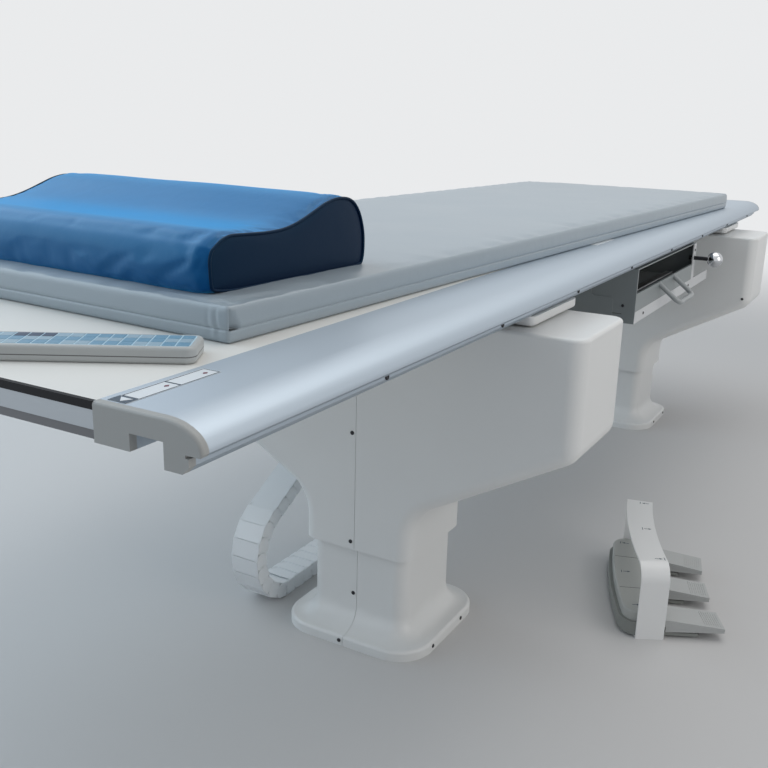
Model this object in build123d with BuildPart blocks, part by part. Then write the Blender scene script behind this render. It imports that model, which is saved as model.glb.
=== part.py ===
from build123d import *
import os
from math import cos, degrees, radians, sin

# An x-ray examination table on two lifting columns, with its mattress, pillow, handset and foot switch.
# Millimetres. X runs along the table, -Y is the operator's side, +Y the wall side, and Z is up.
# The origin is on the floor, midway between the two columns.

os.makedirs("parts", exist_ok=True)

# Clearances
running_gap = 0.3
seam_gap = 0.6

# Overall layout, with the floating top as it was left
top_height = 548
column_pitch = 1214
top_long_offset = -196
top_cross_offset = 125

# Columns and their covers
column_length = 152
column_width = 158
column_corner = 20
cover_wall = 4
cover_height = 440
base_flare = 38
base_height = 16
base_corner = 55
base_edge_round = 5
floor_plate_thickness = 6
outer_tube_side = 120
outer_tube_height = 400
inner_tube_height = 440
tube_wall = 6
anchor_hole_radius = 6
anchor_inset = 20

# Lifting housings
housing_length = 172
housing_reach = 313
housing_drop = 53.5
housing_end_low = 338
housing_waist = 212
collar_bottom = 142
collar_width = 176
housing_wall = 4
housing_corner = 20
housing_top_round = 5
flare_round = 60
end_round = 26
head_plate_length = 90
head_plate_width = 380
head_plate_thickness = 12
guide_width = 14
guide_height = 1.7
guide_spacing = 70

# Frame beams between the housings
beam_width = 30
beam_height = 50
beam_wall = 3
beam_spacing = 240
beam_top = 405
flange_thickness = 6
flange_margin = 14

# Cross carriages that carry the top
cross_beam_length = 110
cross_beam_thickness = 11
box_length = 162
box_width = 66
box_height = 13
box_outset = 85
box_round = 5
box_shift = 21
shoe_length = 120

# Table top
top_length = 2200
laminate_width = 556
panel_thickness = 18.6
edge_strip_thickness = 4
edge_strip_height = 6.4
end_profile_lip = 3
end_profile_depth = 46
end_profile_step = 6
end_profile_height = 31

# Side rails, as distances out from the laminate's edge and depths under the top
rail_width = 99
rail_nose_length = 35
rail_nose_depth = 20
rail_lip_out = 97
rail_lip_depth = 22.5
rail_groove_out = 84
rail_groove_depth = 25
rail_leg_out = 87
rail_leg_depth = 37
rail_leg_chamfer = 6
rail_channel_in = 34
rail_channel_out = 65
rail_channel_depth = 17
rail_inner_leg_depth = 30.5
cap_thickness = 7
cap_round = 2.5
rail_screw_pitch = 262
rail_screw_depth = 29

# Mattress and pillow
mattress_length = 1750
mattress_width = 516
mattress_thickness = 34
mattress_skew = -2.9
mattress_round = 5
mattress_end_gap = 181
mattress_side_gap = 26
pillow_length = 243
pillow_width = 442
pillow_low_height = 55.5
pillow_dip_height = 54
pillow_high_height = 77.5
pillow_skew = -3.5
pillow_end_gap = 200
pillow_side_gap = 66

# Handset
handset_length = 184
handset_width = 48
handset_lower_height = 6
handset_upper_height = 8
handset_corner = 9
handset_round = 3
handset_turn = 31
handset_end_gap = 113.5
handset_side_gap = 5
keypad_thickness = 0.8
keypad_margin = 5

# Bucky, the drawer unit that holds the image receptor
bucky_start = -184
bucky_length = 440
bucky_front = -233
bucky_depth = 480
bucky_bottom = 413
bucky_height = 93
sheet = 2
front_strip = 20
front_strip_overrun = 138
front_post = 22
front_lip = 4
grid_thickness = 4
grid_margin = 24
side_cover_thickness = 1.5
tray_front_height = 31
tray_depth = 420
tray_thickness = 4
tray_lift = 23
tray_ledge = 28
jaw_length = 330
jaw_width = 14
jaw_height = 12
jaw_gap = 350
handle_width = 117
handle_reach = 38
handle_drop = 30
handle_bar = 9
handle_bend = 12
runner_length = 40
runner_lip = 12
lock_height = 476
lock_stem_radius = 4
lock_stem_length = 28
lock_ball_radius = 15.5

# Energy chain
chain_width = 50
chain_thickness = 24
chain_pitch = 23.7
chain_joint_gap = 0.6
chain_side = 7
chain_plate = 3
chain_rib = 14
chain_near_face = 154
chain_bend_x = -635
chain_bend_radius = 72
chain_slope = 29
chain_floor_links = 7
chain_bend_links = 8
chain_rising_links = 6
bracket_sheet = 4

# Foot switch, laid out on an arc about a point on the operator's side
switch_x = -336
switch_y = -321.5
switch_turn = 20.3
switch_radius = 964.5
switch_back = 41.5
switch_front = 21.5
switch_base_height = 24
switch_cover_height = 16
switch_cover_inset = 5
switch_corner = 30
foot_pad_radius = 9
foot_pad_height = 3
pedal_pitch = 106
pedal_width = 48
pedal_tip_width = 50
pedal_reach = 111.5
pedal_root_height = 33
pedal_root_thickness = 14
pedal_tip_height = 20
pedal_tip_thickness = 3
pedal_pin_radius = 3
guard_length = 273
guard_width = 42
guard_height = 118
guard_sheet = 3
guard_bend = 26
guard_foot = 16

# Fasteners
screw_radius = 3
screw_head = 1.5


def save(builder, name):
    """Label a finished piece and write it."""
    builder.part.label = name
    export_step(builder.part, "parts/" + name + ".step")


def upright_plane(origin, angle):
    """A vertical plane whose own x axis points along the given angle and whose y axis is up."""
    turn = radians(angle)
    return Plane(origin=origin, x_dir=(cos(turn), sin(turn), 0), z_dir=(sin(turn), -cos(turn), 0))


# Places that several pieces share
base_length = column_length + 2 * base_flare
base_width = column_width + 2 * base_flare
plate_length = base_length - 2 * cover_wall - 2 * running_gap
plate_width = base_width - 2 * cover_wall - 2 * running_gap
housing_top = top_height - housing_drop
laminate_low = top_cross_offset - laminate_width / 2
laminate_high = laminate_low + laminate_width
top_near = top_long_offset - top_length / 2
top_far = top_near + top_length
sides = {"near": -1, "far": 1}


def at_column(source, side):
    """A piece drawn over the origin, mirrored for the far column and moved to its own column."""
    with BuildPart() as turned:
        add(source.part)
        if side == "far":
            mirror(about=Plane.YZ, mode=Mode.REPLACE)
    with BuildPart() as placed:
        with Locations((sides[side] * column_pitch / 2, 0, 0)):
            add(turned.part)
    return placed


def at_both_columns(source):
    """One piece made of the near column's copy and the far column's."""
    copies = [at_column(source, side) for side in sides]
    with BuildPart() as both:
        for copy in copies:
            add(copy.part)
    return both


def save_halves(cover, name):
    """Split a cover along its middle seam and save the operator's half and the wall's half."""
    for half, keep, edge in (("operator", Keep.TOP, seam_gap / 2), ("wall", Keep.BOTTOM, -seam_gap / 2)):
        with BuildPart() as shell:
            add(cover.part)
            split(bisect_by=Plane.XZ.offset(edge), keep=keep)
        save(shell, name + "_" + half)


# Fixed columns: a floor plate with four anchor holes and a square tube welded on it
with BuildPart() as floor_column:
    with BuildSketch(Plane.XY):
        RectangleRounded(plate_length, plate_width, base_corner - cover_wall - running_gap)
    extrude(amount=floor_plate_thickness)
    with BuildSketch(Plane.XY.offset(floor_plate_thickness)):
        RectangleRounded(outer_tube_side, outer_tube_side, 2 * tube_wall)
        offset(amount=-tube_wall, mode=Mode.SUBTRACT)
    extrude(amount=outer_tube_height)
    with Locations((0, 0, floor_plate_thickness)):
        with GridLocations(plate_length - 2 * anchor_inset, plate_width - 2 * anchor_inset, 2, 2):
            Hole(anchor_hole_radius)

# Column cover, flared out to a rim on the floor
with BuildPart() as column_cover:
    with BuildSketch(Plane.XY):
        RectangleRounded(base_length, base_width, base_corner)
    extrude(amount=base_height)
    fillet(column_cover.edges().group_by(Axis.Z)[-1], base_edge_round)
    with BuildSketch(Plane.XY):
        RectangleRounded(column_length, column_width, column_corner)
    extrude(amount=cover_height)
    base_top_edges = column_cover.edges().filter_by_position(Axis.Z, base_height, base_height)
    fillet([e for e in base_top_edges if abs(e.center().X) < column_length / 2 + 1
            and abs(e.center().Y) < column_width / 2 + 1], base_flare - base_edge_round - 1)
    with BuildSketch(Plane.XY):
        RectangleRounded(column_length - 2 * cover_wall, column_width - 2 * cover_wall,
                         column_corner - cover_wall)
    extrude(amount=cover_height, mode=Mode.SUBTRACT)
    with BuildSketch(Plane.XY):
        RectangleRounded(base_length - 2 * cover_wall, base_width - 2 * cover_wall, base_corner - cover_wall)
    extrude(amount=base_height - cover_wall, mode=Mode.SUBTRACT)

for side in sides:
    save(at_column(floor_column, side), side + "_floor_column")
    save_halves(at_column(column_cover, side), side + "_column_cover")


# Lifting housing: a wide head over the column that narrows to a collar around it
def draw_head(start, inset):
    """The head's outline across the table, pulled in by a wall's thickness, on a plane at the given x."""
    half = [(collar_width / 2, collar_bottom), (collar_width / 2, housing_waist),
            (housing_reach, housing_end_low), (housing_reach, housing_top)]
    other_half = [(-across, height) for across, height in half]
    with BuildSketch(Plane.YZ.offset(start)) as outline:
        with BuildLine():
            wall_side = FilletPolyline(*half, radius=[flare_round, end_round])
            operator_side = FilletPolyline(*other_half, radius=[flare_round, end_round])
            Line(wall_side @ 0, operator_side @ 0)
            Line(wall_side @ 1, operator_side @ 1)
        make_face()
        if inset:
            offset(amount=-inset, kind=Kind.INTERSECTION, mode=Mode.REPLACE)
    return outline.sketch


def side_edges(block, length):
    """The edges round both long faces of a block, without those along its bottom and top."""
    return [e for e in block.edges() if abs(abs(e.center().X) - length / 2) < 0.1
            and abs(e.center().Y) > 1]


outer_head = draw_head(-housing_length / 2, 0)
inner_head = draw_head(-housing_length / 2 + housing_wall, housing_wall)
inner_length = housing_length - 2 * housing_wall
with BuildPart() as housing_space:
    extrude(inner_head, amount=inner_length)
    fillet(side_edges(housing_space, inner_length), housing_corner - housing_wall)
with BuildPart() as housing:
    extrude(outer_head, amount=housing_length)
    fillet(side_edges(housing, housing_length), housing_corner)
    fillet(housing.edges().group_by(Axis.Z)[-1], housing_top_round)
    add(housing_space.part, mode=Mode.SUBTRACT)
    with BuildSketch(Plane.XY.offset(collar_bottom)):
        RectangleRounded(housing_length - 2 * housing_wall, collar_width - 2 * housing_wall,
                         housing_corner - housing_wall)
    extrude(amount=2 * housing_wall, mode=Mode.SUBTRACT)
    with BuildSketch(Plane.XY.offset(housing_top)):
        Rectangle(head_plate_length + 2 * running_gap, head_plate_width + 2 * running_gap)
    extrude(amount=-2 * housing_wall, mode=Mode.SUBTRACT)
for side in sides:
    save_halves(at_column(housing, side), side + "_housing")


# Lifting column: a head plate that fills the window in the housing, on the tube that slides in the fixed one
inner_tube_side = outer_tube_side - 2 * tube_wall - 2 * running_gap
head_plate_low = housing_top - head_plate_thickness
with BuildPart() as lifting_column:
    with BuildSketch(Plane.XY.offset(head_plate_low)):
        Rectangle(head_plate_length, head_plate_width)
    extrude(amount=head_plate_thickness)
    with BuildSketch(Plane.XY.offset(head_plate_low)):
        RectangleRounded(inner_tube_side, inner_tube_side, tube_wall)
        offset(amount=-tube_wall, mode=Mode.SUBTRACT)
    extrude(amount=-inner_tube_height)

with BuildPart() as cross_guides:
    with BuildSketch(Plane.XY.offset(housing_top)):
        with GridLocations(guide_spacing, 1, 2, 1):
            Rectangle(guide_width, head_plate_width)
    extrude(amount=guide_height)

for side in sides:
    save(at_column(lifting_column, side), side + "_lifting_column")
save(at_both_columns(cross_guides), "cross_guides")

# Longitudinal frame beams between the two housings, with a flange at each end
beam_length = column_pitch - housing_length
for beam_name, beam_side in (("operator", -1), ("wall", 1)):
    beam_start = Plane(origin=(-beam_length / 2, beam_side * beam_spacing / 2, beam_top - beam_height / 2),
                       x_dir=(0, 1, 0), z_dir=(1, 0, 0))
    with BuildPart() as beam:
        with BuildSketch(beam_start):
            RectangleRounded(beam_width, beam_height, 2 * beam_wall)
            offset(amount=-beam_wall, mode=Mode.SUBTRACT)
        extrude(amount=beam_length)
        for flange_at in (0, beam_length - flange_thickness):
            with BuildSketch(beam_start.offset(flange_at)):
                with Locations((0, -flange_margin / 2)):
                    RectangleRounded(beam_width + 2 * flange_margin, beam_height + flange_margin, 4)
                Rectangle(beam_width - 2 * beam_wall, beam_height - 2 * beam_wall, mode=Mode.SUBTRACT)
            extrude(amount=flange_thickness)
    save(beam, "frame_beam_" + beam_name)

# Dark screws in the covers, on the outer face beside each seam and around each rim
collar_screws = [(319, housing_length / 2), (154, housing_length / 2)]
end_screw_across = 297
end_screw_height = 354
seam_screw_across = 6
column_screw_height = 67
rim_screw_height = 8
rim_screw_offsets = (-54, 38)


def screw_heads(faces):
    """Round screw heads standing on the given points, each with the direction it faces."""
    with BuildPart() as heads:
        for point, out in faces:
            with Locations(Plane(origin=point, z_dir=out)):
                Cylinder(screw_radius, screw_head, align=(Align.CENTER, Align.CENTER, Align.MIN))
    return heads


housing_screw_points = [((-reach, seam_screw_across, height), (-1, 0, 0)) for height, reach in collar_screws]
housing_screw_points += [((housing_length / 2, across, end_screw_height), (1, 0, 0))
                         for across in (-end_screw_across, end_screw_across)]
cover_screw_points = [((-column_length / 2, seam_screw_across, column_screw_height), (-1, 0, 0)),
                      ((-base_length / 2, seam_screw_across, rim_screw_height), (-1, 0, 0))]
cover_screw_points += [((along, across * base_width / 2, rim_screw_height), (0, across, 0))
                       for along in rim_screw_offsets for across in (-1, 1)]
save(at_both_columns(screw_heads(housing_screw_points)), "housing_screws")
save(at_both_columns(screw_heads(cover_screw_points)), "column_cover_screws")


# Cross carriages: a beam on the guides of each column and a roller box under each rail
beam_low = housing_top + guide_height + running_gap
box_inner_out = box_outset - box_width
box_places = {"operator": -1, "wall": 1}
rail_edges = {"operator": laminate_low, "wall": laminate_high}
for side, column_side in sides.items():
    column_x = column_side * column_pitch / 2
    with BuildPart() as cross_beam:
        with BuildSketch(Plane.XY.offset(beam_low)):
            with Locations((column_x, top_cross_offset)):
                Rectangle(cross_beam_length, laminate_width + 2 * box_inner_out)
        extrude(amount=cross_beam_thickness)
    save(cross_beam, side + "_cross_beam")
    for rail_name, outward in box_places.items():
        box_center = rail_edges[rail_name] + outward * (box_inner_out + box_width / 2)
        with BuildPart() as roller_box:
            with BuildSketch(Plane.XY.offset(beam_low)):
                with Locations((column_x + box_shift, box_center)):
                    RectangleRounded(box_length, box_width, 2 * box_round)
            extrude(amount=box_height)
            fillet(roller_box.edges().group_by(Axis.Z)[0], box_round)
        save(roller_box, side + "_roller_box_" + rail_name)

# Glide shoes that stand on the boxes and run in the rails' channels
shoe_low = beam_low + box_height
shoe_high = top_height - rail_channel_depth - running_gap
with BuildPart() as glide_shoes:
    with BuildSketch(Plane.XY.offset(shoe_low)):
        for rail_name, outward in box_places.items():
            shoe_center = rail_edges[rail_name] + outward * (rail_channel_in + rail_channel_out) / 2
            with Locations(*[(column_side * column_pitch / 2 + box_shift, shoe_center)
                             for column_side in sides.values()]):
                Rectangle(shoe_length, rail_channel_out - rail_channel_in - 2 * running_gap)
    extrude(amount=shoe_high - shoe_low)
save(glide_shoes, "glide_shoes")

# Table top: the laminate panel with its dark edge strips and aluminium end profiles
with BuildPart() as laminate_panel:
    with BuildSketch(Plane.XY.offset(top_height)):
        with Locations((top_long_offset, top_cross_offset)):
            Rectangle(top_length - 2 * edge_strip_thickness, laminate_width)
    extrude(amount=-panel_thickness)
save(laminate_panel, "laminate_panel")

with BuildPart() as edge_strips:
    with BuildSketch(Plane.XY.offset(top_height)):
        with Locations((top_long_offset, top_cross_offset)):
            with GridLocations(top_length - edge_strip_thickness, 1, 2, 1):
                Rectangle(edge_strip_thickness, laminate_width)
    extrude(amount=-edge_strip_height)
save(edge_strips, "edge_strips")

with BuildPart() as end_profiles:
    for end_x, inward in ((top_near, 1), (top_far, -1)):
        across = Plane(origin=(end_x, laminate_low, top_height), x_dir=(inward, 0, 0), z_dir=(0, -inward, 0))
        with BuildSketch(across):
            with BuildLine():
                Polyline(
                    (edge_strip_thickness - end_profile_lip, -edge_strip_height),
                    (edge_strip_thickness, -edge_strip_height),
                    (edge_strip_thickness, -panel_thickness),
                    (end_profile_depth, -panel_thickness),
                    (end_profile_depth, -end_profile_height),
                    (end_profile_step, -end_profile_height),
                    (end_profile_step, -panel_thickness - end_profile_lip),
                    (edge_strip_thickness - end_profile_lip, -panel_thickness - end_profile_lip),
                    close=True,
                )
            make_face()
        extrude(amount=-inward * laminate_width)
save(end_profiles, "end_profiles")


def draw_rail(start_x, rail_name):
    """The rail's section, outward from the laminate's edge and down from the top, at the given x."""
    outward = box_places[rail_name]
    section_plane = Plane(origin=(start_x, rail_edges[rail_name], top_height), x_dir=(0, outward, 0),
                          z_dir=(outward, 0, 0))
    nose_start = rail_width - rail_nose_length
    with BuildSketch(section_plane) as section:
        with BuildLine():
            Line((0, 0), (nose_start, 0))
            EllipticalCenterArc((nose_start, -rail_nose_depth), rail_nose_length, rail_nose_depth,
                                start_angle=0, arc_size=90)
            Polyline(
                (rail_width, -rail_nose_depth),
                (rail_lip_out, -rail_lip_depth),
                (rail_groove_out, -rail_lip_depth),
                (rail_groove_out, -rail_groove_depth),
                (rail_leg_out, -rail_groove_depth),
                (rail_leg_out, -rail_leg_depth + rail_leg_chamfer),
                (rail_leg_out - rail_leg_chamfer, -rail_leg_depth),
                (rail_channel_out, -rail_leg_depth),
                (rail_channel_out, -rail_channel_depth),
                (rail_channel_in, -rail_channel_depth),
                (rail_channel_in, -rail_inner_leg_depth),
                (0, -rail_inner_leg_depth),
                (0, 0),
            )
        make_face()
    return section.sketch


rail_length = top_length - 2 * cap_thickness
for rail_name, outward in box_places.items():
    rail_section = draw_rail(top_near + cap_thickness, rail_name)
    with BuildPart() as rail:
        extrude(rail_section, amount=outward * rail_length)
    save(rail, "rail_" + rail_name)


def cap_at(end_x, inward, rail_name):
    """One end cap, drawn on the top's end and rounded on its outer edge."""
    section = draw_rail(end_x, rail_name)
    with BuildPart() as cap:
        extrude(section, amount=inward * box_places[rail_name] * cap_thickness)
        outer_face = cap.faces().sort_by(Axis.X, reverse=inward < 0)[0]
        nose_edge = outer_face.edges().filter_by(GeomType.ELLIPSE)
        fillet(nose_edge + outer_face.edges().group_by(Axis.Z)[-1], cap_round)
    return cap


caps = [cap_at(end_x, inward, rail_name) for end_x, inward in ((top_near, 1), (top_far, -1))
        for rail_name in box_places]
with BuildPart() as end_caps:
    for cap in caps:
        add(cap.part)
save(end_caps, "end_caps")

rail_screw_places = range(1, int(top_length / rail_screw_pitch) + 1)
rail_screw_points = [((top_near + place * rail_screw_pitch, rail_edges[rail_name] + outward * rail_leg_out,
                       top_height - rail_screw_depth), (0, outward, 0))
                     for place in rail_screw_places for rail_name, outward in box_places.items()]
save(screw_heads(rail_screw_points), "rail_screws")

# Mattress, lying slightly askew
skew = radians(mattress_skew)
mattress_plane = Plane(origin=(top_near + mattress_end_gap, laminate_low + mattress_side_gap, top_height),
                       x_dir=(cos(skew), sin(skew), 0), z_dir=(0, 0, 1))
with BuildPart() as mattress:
    with BuildSketch(mattress_plane):
        Rectangle(mattress_length, mattress_width, align=(Align.MIN, Align.MIN))
    extrude(amount=mattress_thickness)
    fillet(mattress.edges().filter_by(Axis.Z), mattress_round)
    fillet(mattress.edges().group_by(Axis.Z)[-1], mattress_round)
    fillet(mattress.edges().group_by(Axis.Z)[0], mattress_round / 2)
save(mattress, "mattress")

# Pillow with a low lobe, a dip and a high lobe along the table
pillow_plane = upright_plane((top_near + pillow_end_gap, laminate_low + pillow_side_gap,
                              top_height + mattress_thickness), pillow_skew)
with BuildPart() as pillow:
    with BuildSketch(pillow_plane):
        with BuildLine():
            foot = Line((0.05 * pillow_length, 0), (0.96 * pillow_length, 0))
            Spline(
                foot @ 1,
                (pillow_length, 0.4 * pillow_high_height),
                (0.94 * pillow_length, 0.8 * pillow_high_height),
                (0.79 * pillow_length, pillow_high_height),
                (0.6 * pillow_length, 0.5 * (pillow_dip_height + pillow_high_height)),
                (0.39 * pillow_length, pillow_dip_height),
                (0.16 * pillow_length, pillow_low_height),
                (0.02 * pillow_length, 0.8 * pillow_low_height),
                (0, 0.4 * pillow_low_height),
                foot @ 0,
            )
        make_face()
    extrude(amount=-pillow_width)
save(pillow, "pillow")

# Handset: two shells and a membrane keypad
hand = radians(handset_turn)
handset_plane = Plane(origin=(top_near + handset_end_gap, laminate_low + handset_side_gap, top_height),
                      x_dir=(cos(hand), sin(hand), 0), z_dir=(0, 0, 1))
handset_middle = (handset_width / 2, handset_length / 2)
with BuildPart() as handset_lower:
    with BuildSketch(handset_plane):
        with Locations(handset_middle):
            RectangleRounded(handset_width, handset_length, handset_corner)
    extrude(amount=handset_lower_height)
    fillet(handset_lower.edges().group_by(Axis.Z)[0], handset_round)
save(handset_lower, "handset_lower_shell")

keypad_width = handset_width - 2 * keypad_margin
keypad_length = handset_length - 2 * keypad_margin
with BuildPart() as handset_upper:
    with BuildSketch(handset_plane.offset(handset_lower_height)):
        with Locations(handset_middle):
            RectangleRounded(handset_width, handset_length, handset_corner)
    extrude(amount=handset_upper_height)
    fillet(handset_upper.edges().group_by(Axis.Z)[-1], handset_round)
    with BuildSketch(handset_plane.offset(handset_lower_height + handset_upper_height)):
        with Locations(handset_middle):
            RectangleRounded(keypad_width, keypad_length, handset_corner - keypad_margin)
    extrude(amount=-keypad_thickness, mode=Mode.SUBTRACT)
save(handset_upper, "handset_upper_shell")

with BuildPart() as keypad:
    with BuildSketch(handset_plane.offset(handset_lower_height + handset_upper_height - keypad_thickness)):
        with Locations(handset_middle):
            RectangleRounded(keypad_width, keypad_length, handset_corner - keypad_margin)
    extrude(amount=keypad_thickness)
save(keypad, "handset_keypad")

# Bucky: a sheet-metal box open towards the operator, with a ledge at each side for its tray
corner = (Align.MIN, Align.MIN, Align.MIN)
bucky_end = bucky_start + bucky_length
bucky_top = bucky_bottom + bucky_height
bucky_back = bucky_front + bucky_depth
tray_low = bucky_bottom + tray_lift
ledge_top = tray_low - running_gap
ledge_height = ledge_top - bucky_bottom - sheet
ledge_front = bucky_front + 2 * sheet
ledge_depth = bucky_back - sheet - ledge_front
near_ledge = tray_ledge / 2
with BuildPart() as bucky_housing:
    with Locations((bucky_start, bucky_front, bucky_bottom)):
        Box(bucky_length, bucky_depth, bucky_height, align=corner)
    with Locations((bucky_start + sheet, bucky_front, bucky_bottom + sheet)):
        Box(bucky_length - 2 * sheet, bucky_depth - sheet, bucky_height - 2 * sheet, align=corner,
            mode=Mode.SUBTRACT)
    with Locations((bucky_start + grid_margin, bucky_front + grid_margin, bucky_top - sheet)):
        Box(bucky_length - 2 * grid_margin, bucky_depth - 2 * grid_margin, sheet, align=corner,
            mode=Mode.SUBTRACT)
    for ledge_start, ledge_width, web_start in (
        (bucky_start + sheet, near_ledge, bucky_start + near_ledge),
        (bucky_end - sheet - tray_ledge, tray_ledge, bucky_end - sheet - tray_ledge),
    ):
        with Locations((ledge_start, ledge_front, ledge_top - sheet)):
            Box(ledge_width, ledge_depth, sheet, align=corner)
        with Locations((web_start, ledge_front, bucky_bottom + sheet)):
            Box(sheet, ledge_depth, ledge_height, align=corner)
save(bucky_housing, "bucky_housing")

grid_lap = grid_margin / 3
with BuildPart() as bucky_grid:
    with Locations((bucky_start + grid_margin - grid_lap, bucky_front + grid_margin - grid_lap,
                    bucky_top - sheet - grid_thickness)):
        Box(bucky_length - 2 * (grid_margin - grid_lap), bucky_depth - 2 * (grid_margin - grid_lap),
            grid_thickness, align=corner)
save(bucky_grid, "bucky_grid")

# Front frame: a strip along the bottom that runs on past the far end, a post and a narrow lip
lock_x = bucky_end - front_post / 2
strip_top = bucky_bottom + front_strip
with BuildPart() as front_frame:
    with BuildSketch(Plane.XZ.offset(-bucky_front)):
        with Locations((bucky_start, bucky_bottom)):
            Rectangle(bucky_length + front_strip_overrun, front_strip, align=(Align.MIN, Align.MIN))
        with Locations((bucky_end - front_post, bucky_bottom)):
            Rectangle(front_post, bucky_height, align=(Align.MIN, Align.MIN))
        with Locations((bucky_start, bucky_bottom)):
            Rectangle(front_lip, bucky_height, align=(Align.MIN, Align.MIN))
        with Locations((lock_x, lock_height)):
            Circle(lock_stem_radius + running_gap, mode=Mode.SUBTRACT)
    extrude(amount=sheet)
    with Locations((bucky_end, bucky_front, bucky_bottom)):
        Box(front_strip_overrun, front_strip, sheet, align=corner)
save(front_frame, "bucky_front_frame")

# Access cover on the near side, stepped down at its front corner
cover_front = -197
cover_step = -158
cover_back = 243
cover_low = 416
cover_step_height = 455.5
cover_high = 504
with BuildPart() as side_cover:
    with BuildSketch(Plane.YZ.offset(bucky_start)):
        with BuildLine():
            stepped = FilletPolyline((cover_front, cover_low), (cover_front, cover_step_height),
                                     (cover_step, cover_step_height), (cover_step, cover_high),
                                     (cover_back, cover_high), radius=6)
            Polyline(stepped @ 1, (cover_back, cover_low), stepped @ 0)
        make_face()
    extrude(amount=-side_cover_thickness)
save(side_cover, "bucky_side_cover")

# Runners that hang the bucky on the two frame beams
runner_low = beam_top + running_gap
runner_width = beam_width + 2 * running_gap + 2 * bracket_sheet
runner_places = [(along, across, runner_low)
                 for along in (bucky_start + runner_length, bucky_end - 2 * runner_length)
                 for across in (-beam_spacing / 2 - runner_width / 2, beam_spacing / 2 - runner_width / 2)]
with BuildPart() as runners:
    for along, across, height in runner_places:
        with Locations((along, across, height)):
            Box(runner_length, runner_width, bucky_bottom - runner_low, align=corner)
        for lip in (across, across + runner_width - bracket_sheet):
            with Locations((along, lip, height - runner_lip)):
                Box(runner_length, bracket_sheet, runner_lip, align=corner)
save(runners, "bucky_runners")

# Tray: a front panel with a pan behind it, which slides on the ledges
tray_start = bucky_start + front_lip + running_gap
tray_width = bucky_length - front_lip - front_post - 2 * running_gap
tray_front = bucky_front - sheet
with BuildPart() as tray:
    with Locations((tray_start, tray_front, strip_top + running_gap)):
        Box(tray_width, 2 * sheet, tray_front_height, align=corner)
    with Locations((tray_start, tray_front + 2 * sheet, tray_low)):
        Box(tray_width, tray_depth, tray_thickness, align=corner)
save(tray, "tray")

# Clamping jaws that hold the image plate on the tray
jaw_low = tray_low + tray_thickness + running_gap
jaw_center_x = tray_start + tray_width / 2
jaw_middle = tray_front + tray_depth / 2
for jaw_name, jaw_side in (("front", -1), ("back", 1)):
    with BuildPart() as jaw:
        with Locations((jaw_center_x, jaw_middle + jaw_side * jaw_gap / 2, jaw_low)):
            Box(jaw_length, jaw_width, jaw_height, align=(Align.CENTER, Align.CENTER, Align.MIN))
        fillet(jaw.edges().group_by(Axis.Z)[-1], 2)
    save(jaw, "tray_jaw_" + jaw_name)

# Handle: a round bar bent into a loop that slopes out and down from the tray's front
handle_top = strip_top + tray_front_height - handle_bar / 2
handle_run = (handle_reach**2 + handle_drop**2) ** 0.5
handle_half = (handle_width - handle_bar) / 2
handle_plane = Plane(origin=(jaw_center_x, tray_front, handle_top), x_dir=(1, 0, 0),
                     z_dir=(0, -handle_drop, handle_reach))
with BuildPart() as handle:
    with BuildLine(handle_plane) as loop:
        FilletPolyline((-handle_half, handle_bar), (-handle_half, -handle_run), (handle_half, -handle_run),
                       (handle_half, handle_bar), radius=handle_bend)
    with BuildSketch(Plane(origin=loop.line @ 0, z_dir=loop.line % 0)):
        Circle(handle_bar / 2)
    sweep()
    split(bisect_by=Plane.XZ.offset(-tray_front), keep=Keep.TOP)
save(handle, "tray_handle")

# Lock: a stem through the post with a ball knob
stem_inside = 10
stem_end = tray_front - lock_stem_length
ball_center = stem_end - 13
with BuildPart() as lock_stem:
    with BuildSketch(Plane.XZ.offset(-stem_end)):
        with Locations((lock_x, lock_height)):
            Circle(lock_stem_radius)
    extrude(amount=-lock_stem_length - stem_inside)
save(lock_stem, "lock_stem")
with BuildPart() as lock_ball:
    with Locations((lock_x, ball_center, lock_height)):
        Sphere(lock_ball_radius)
    split(bisect_by=Plane.XZ.offset(-stem_end), keep=Keep.TOP)
save(lock_ball, "lock_ball")

# Energy chain: one link, drawn along X with its outer side up
link_reach = (chain_pitch - chain_joint_gap) / 2
link_half = chain_thickness / 2
link_taper = 2.2
rib_thickness = 2.5
with BuildPart() as link:
    for cheek_at in (0, chain_width - chain_side):
        with BuildSketch(Plane.XZ.offset(-cheek_at)):
            with BuildLine():
                Polyline(
                    (-link_reach, link_half),
                    (link_reach, link_half),
                    (link_reach, 0),
                    (link_reach - link_taper, -link_half),
                    (link_taper - link_reach, -link_half),
                    (-link_reach, 0),
                    close=True,
                )
            make_face()
        extrude(amount=-chain_side)
    with Locations((-link_reach, chain_side, link_half - chain_plate)):
        Box(2 * link_reach, chain_width - 2 * chain_side, chain_plate, align=corner)
    with Locations((-chain_rib / 2, chain_side, -link_half)):
        Box(chain_rib, chain_width - 2 * chain_side, rib_thickness, align=corner)

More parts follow.
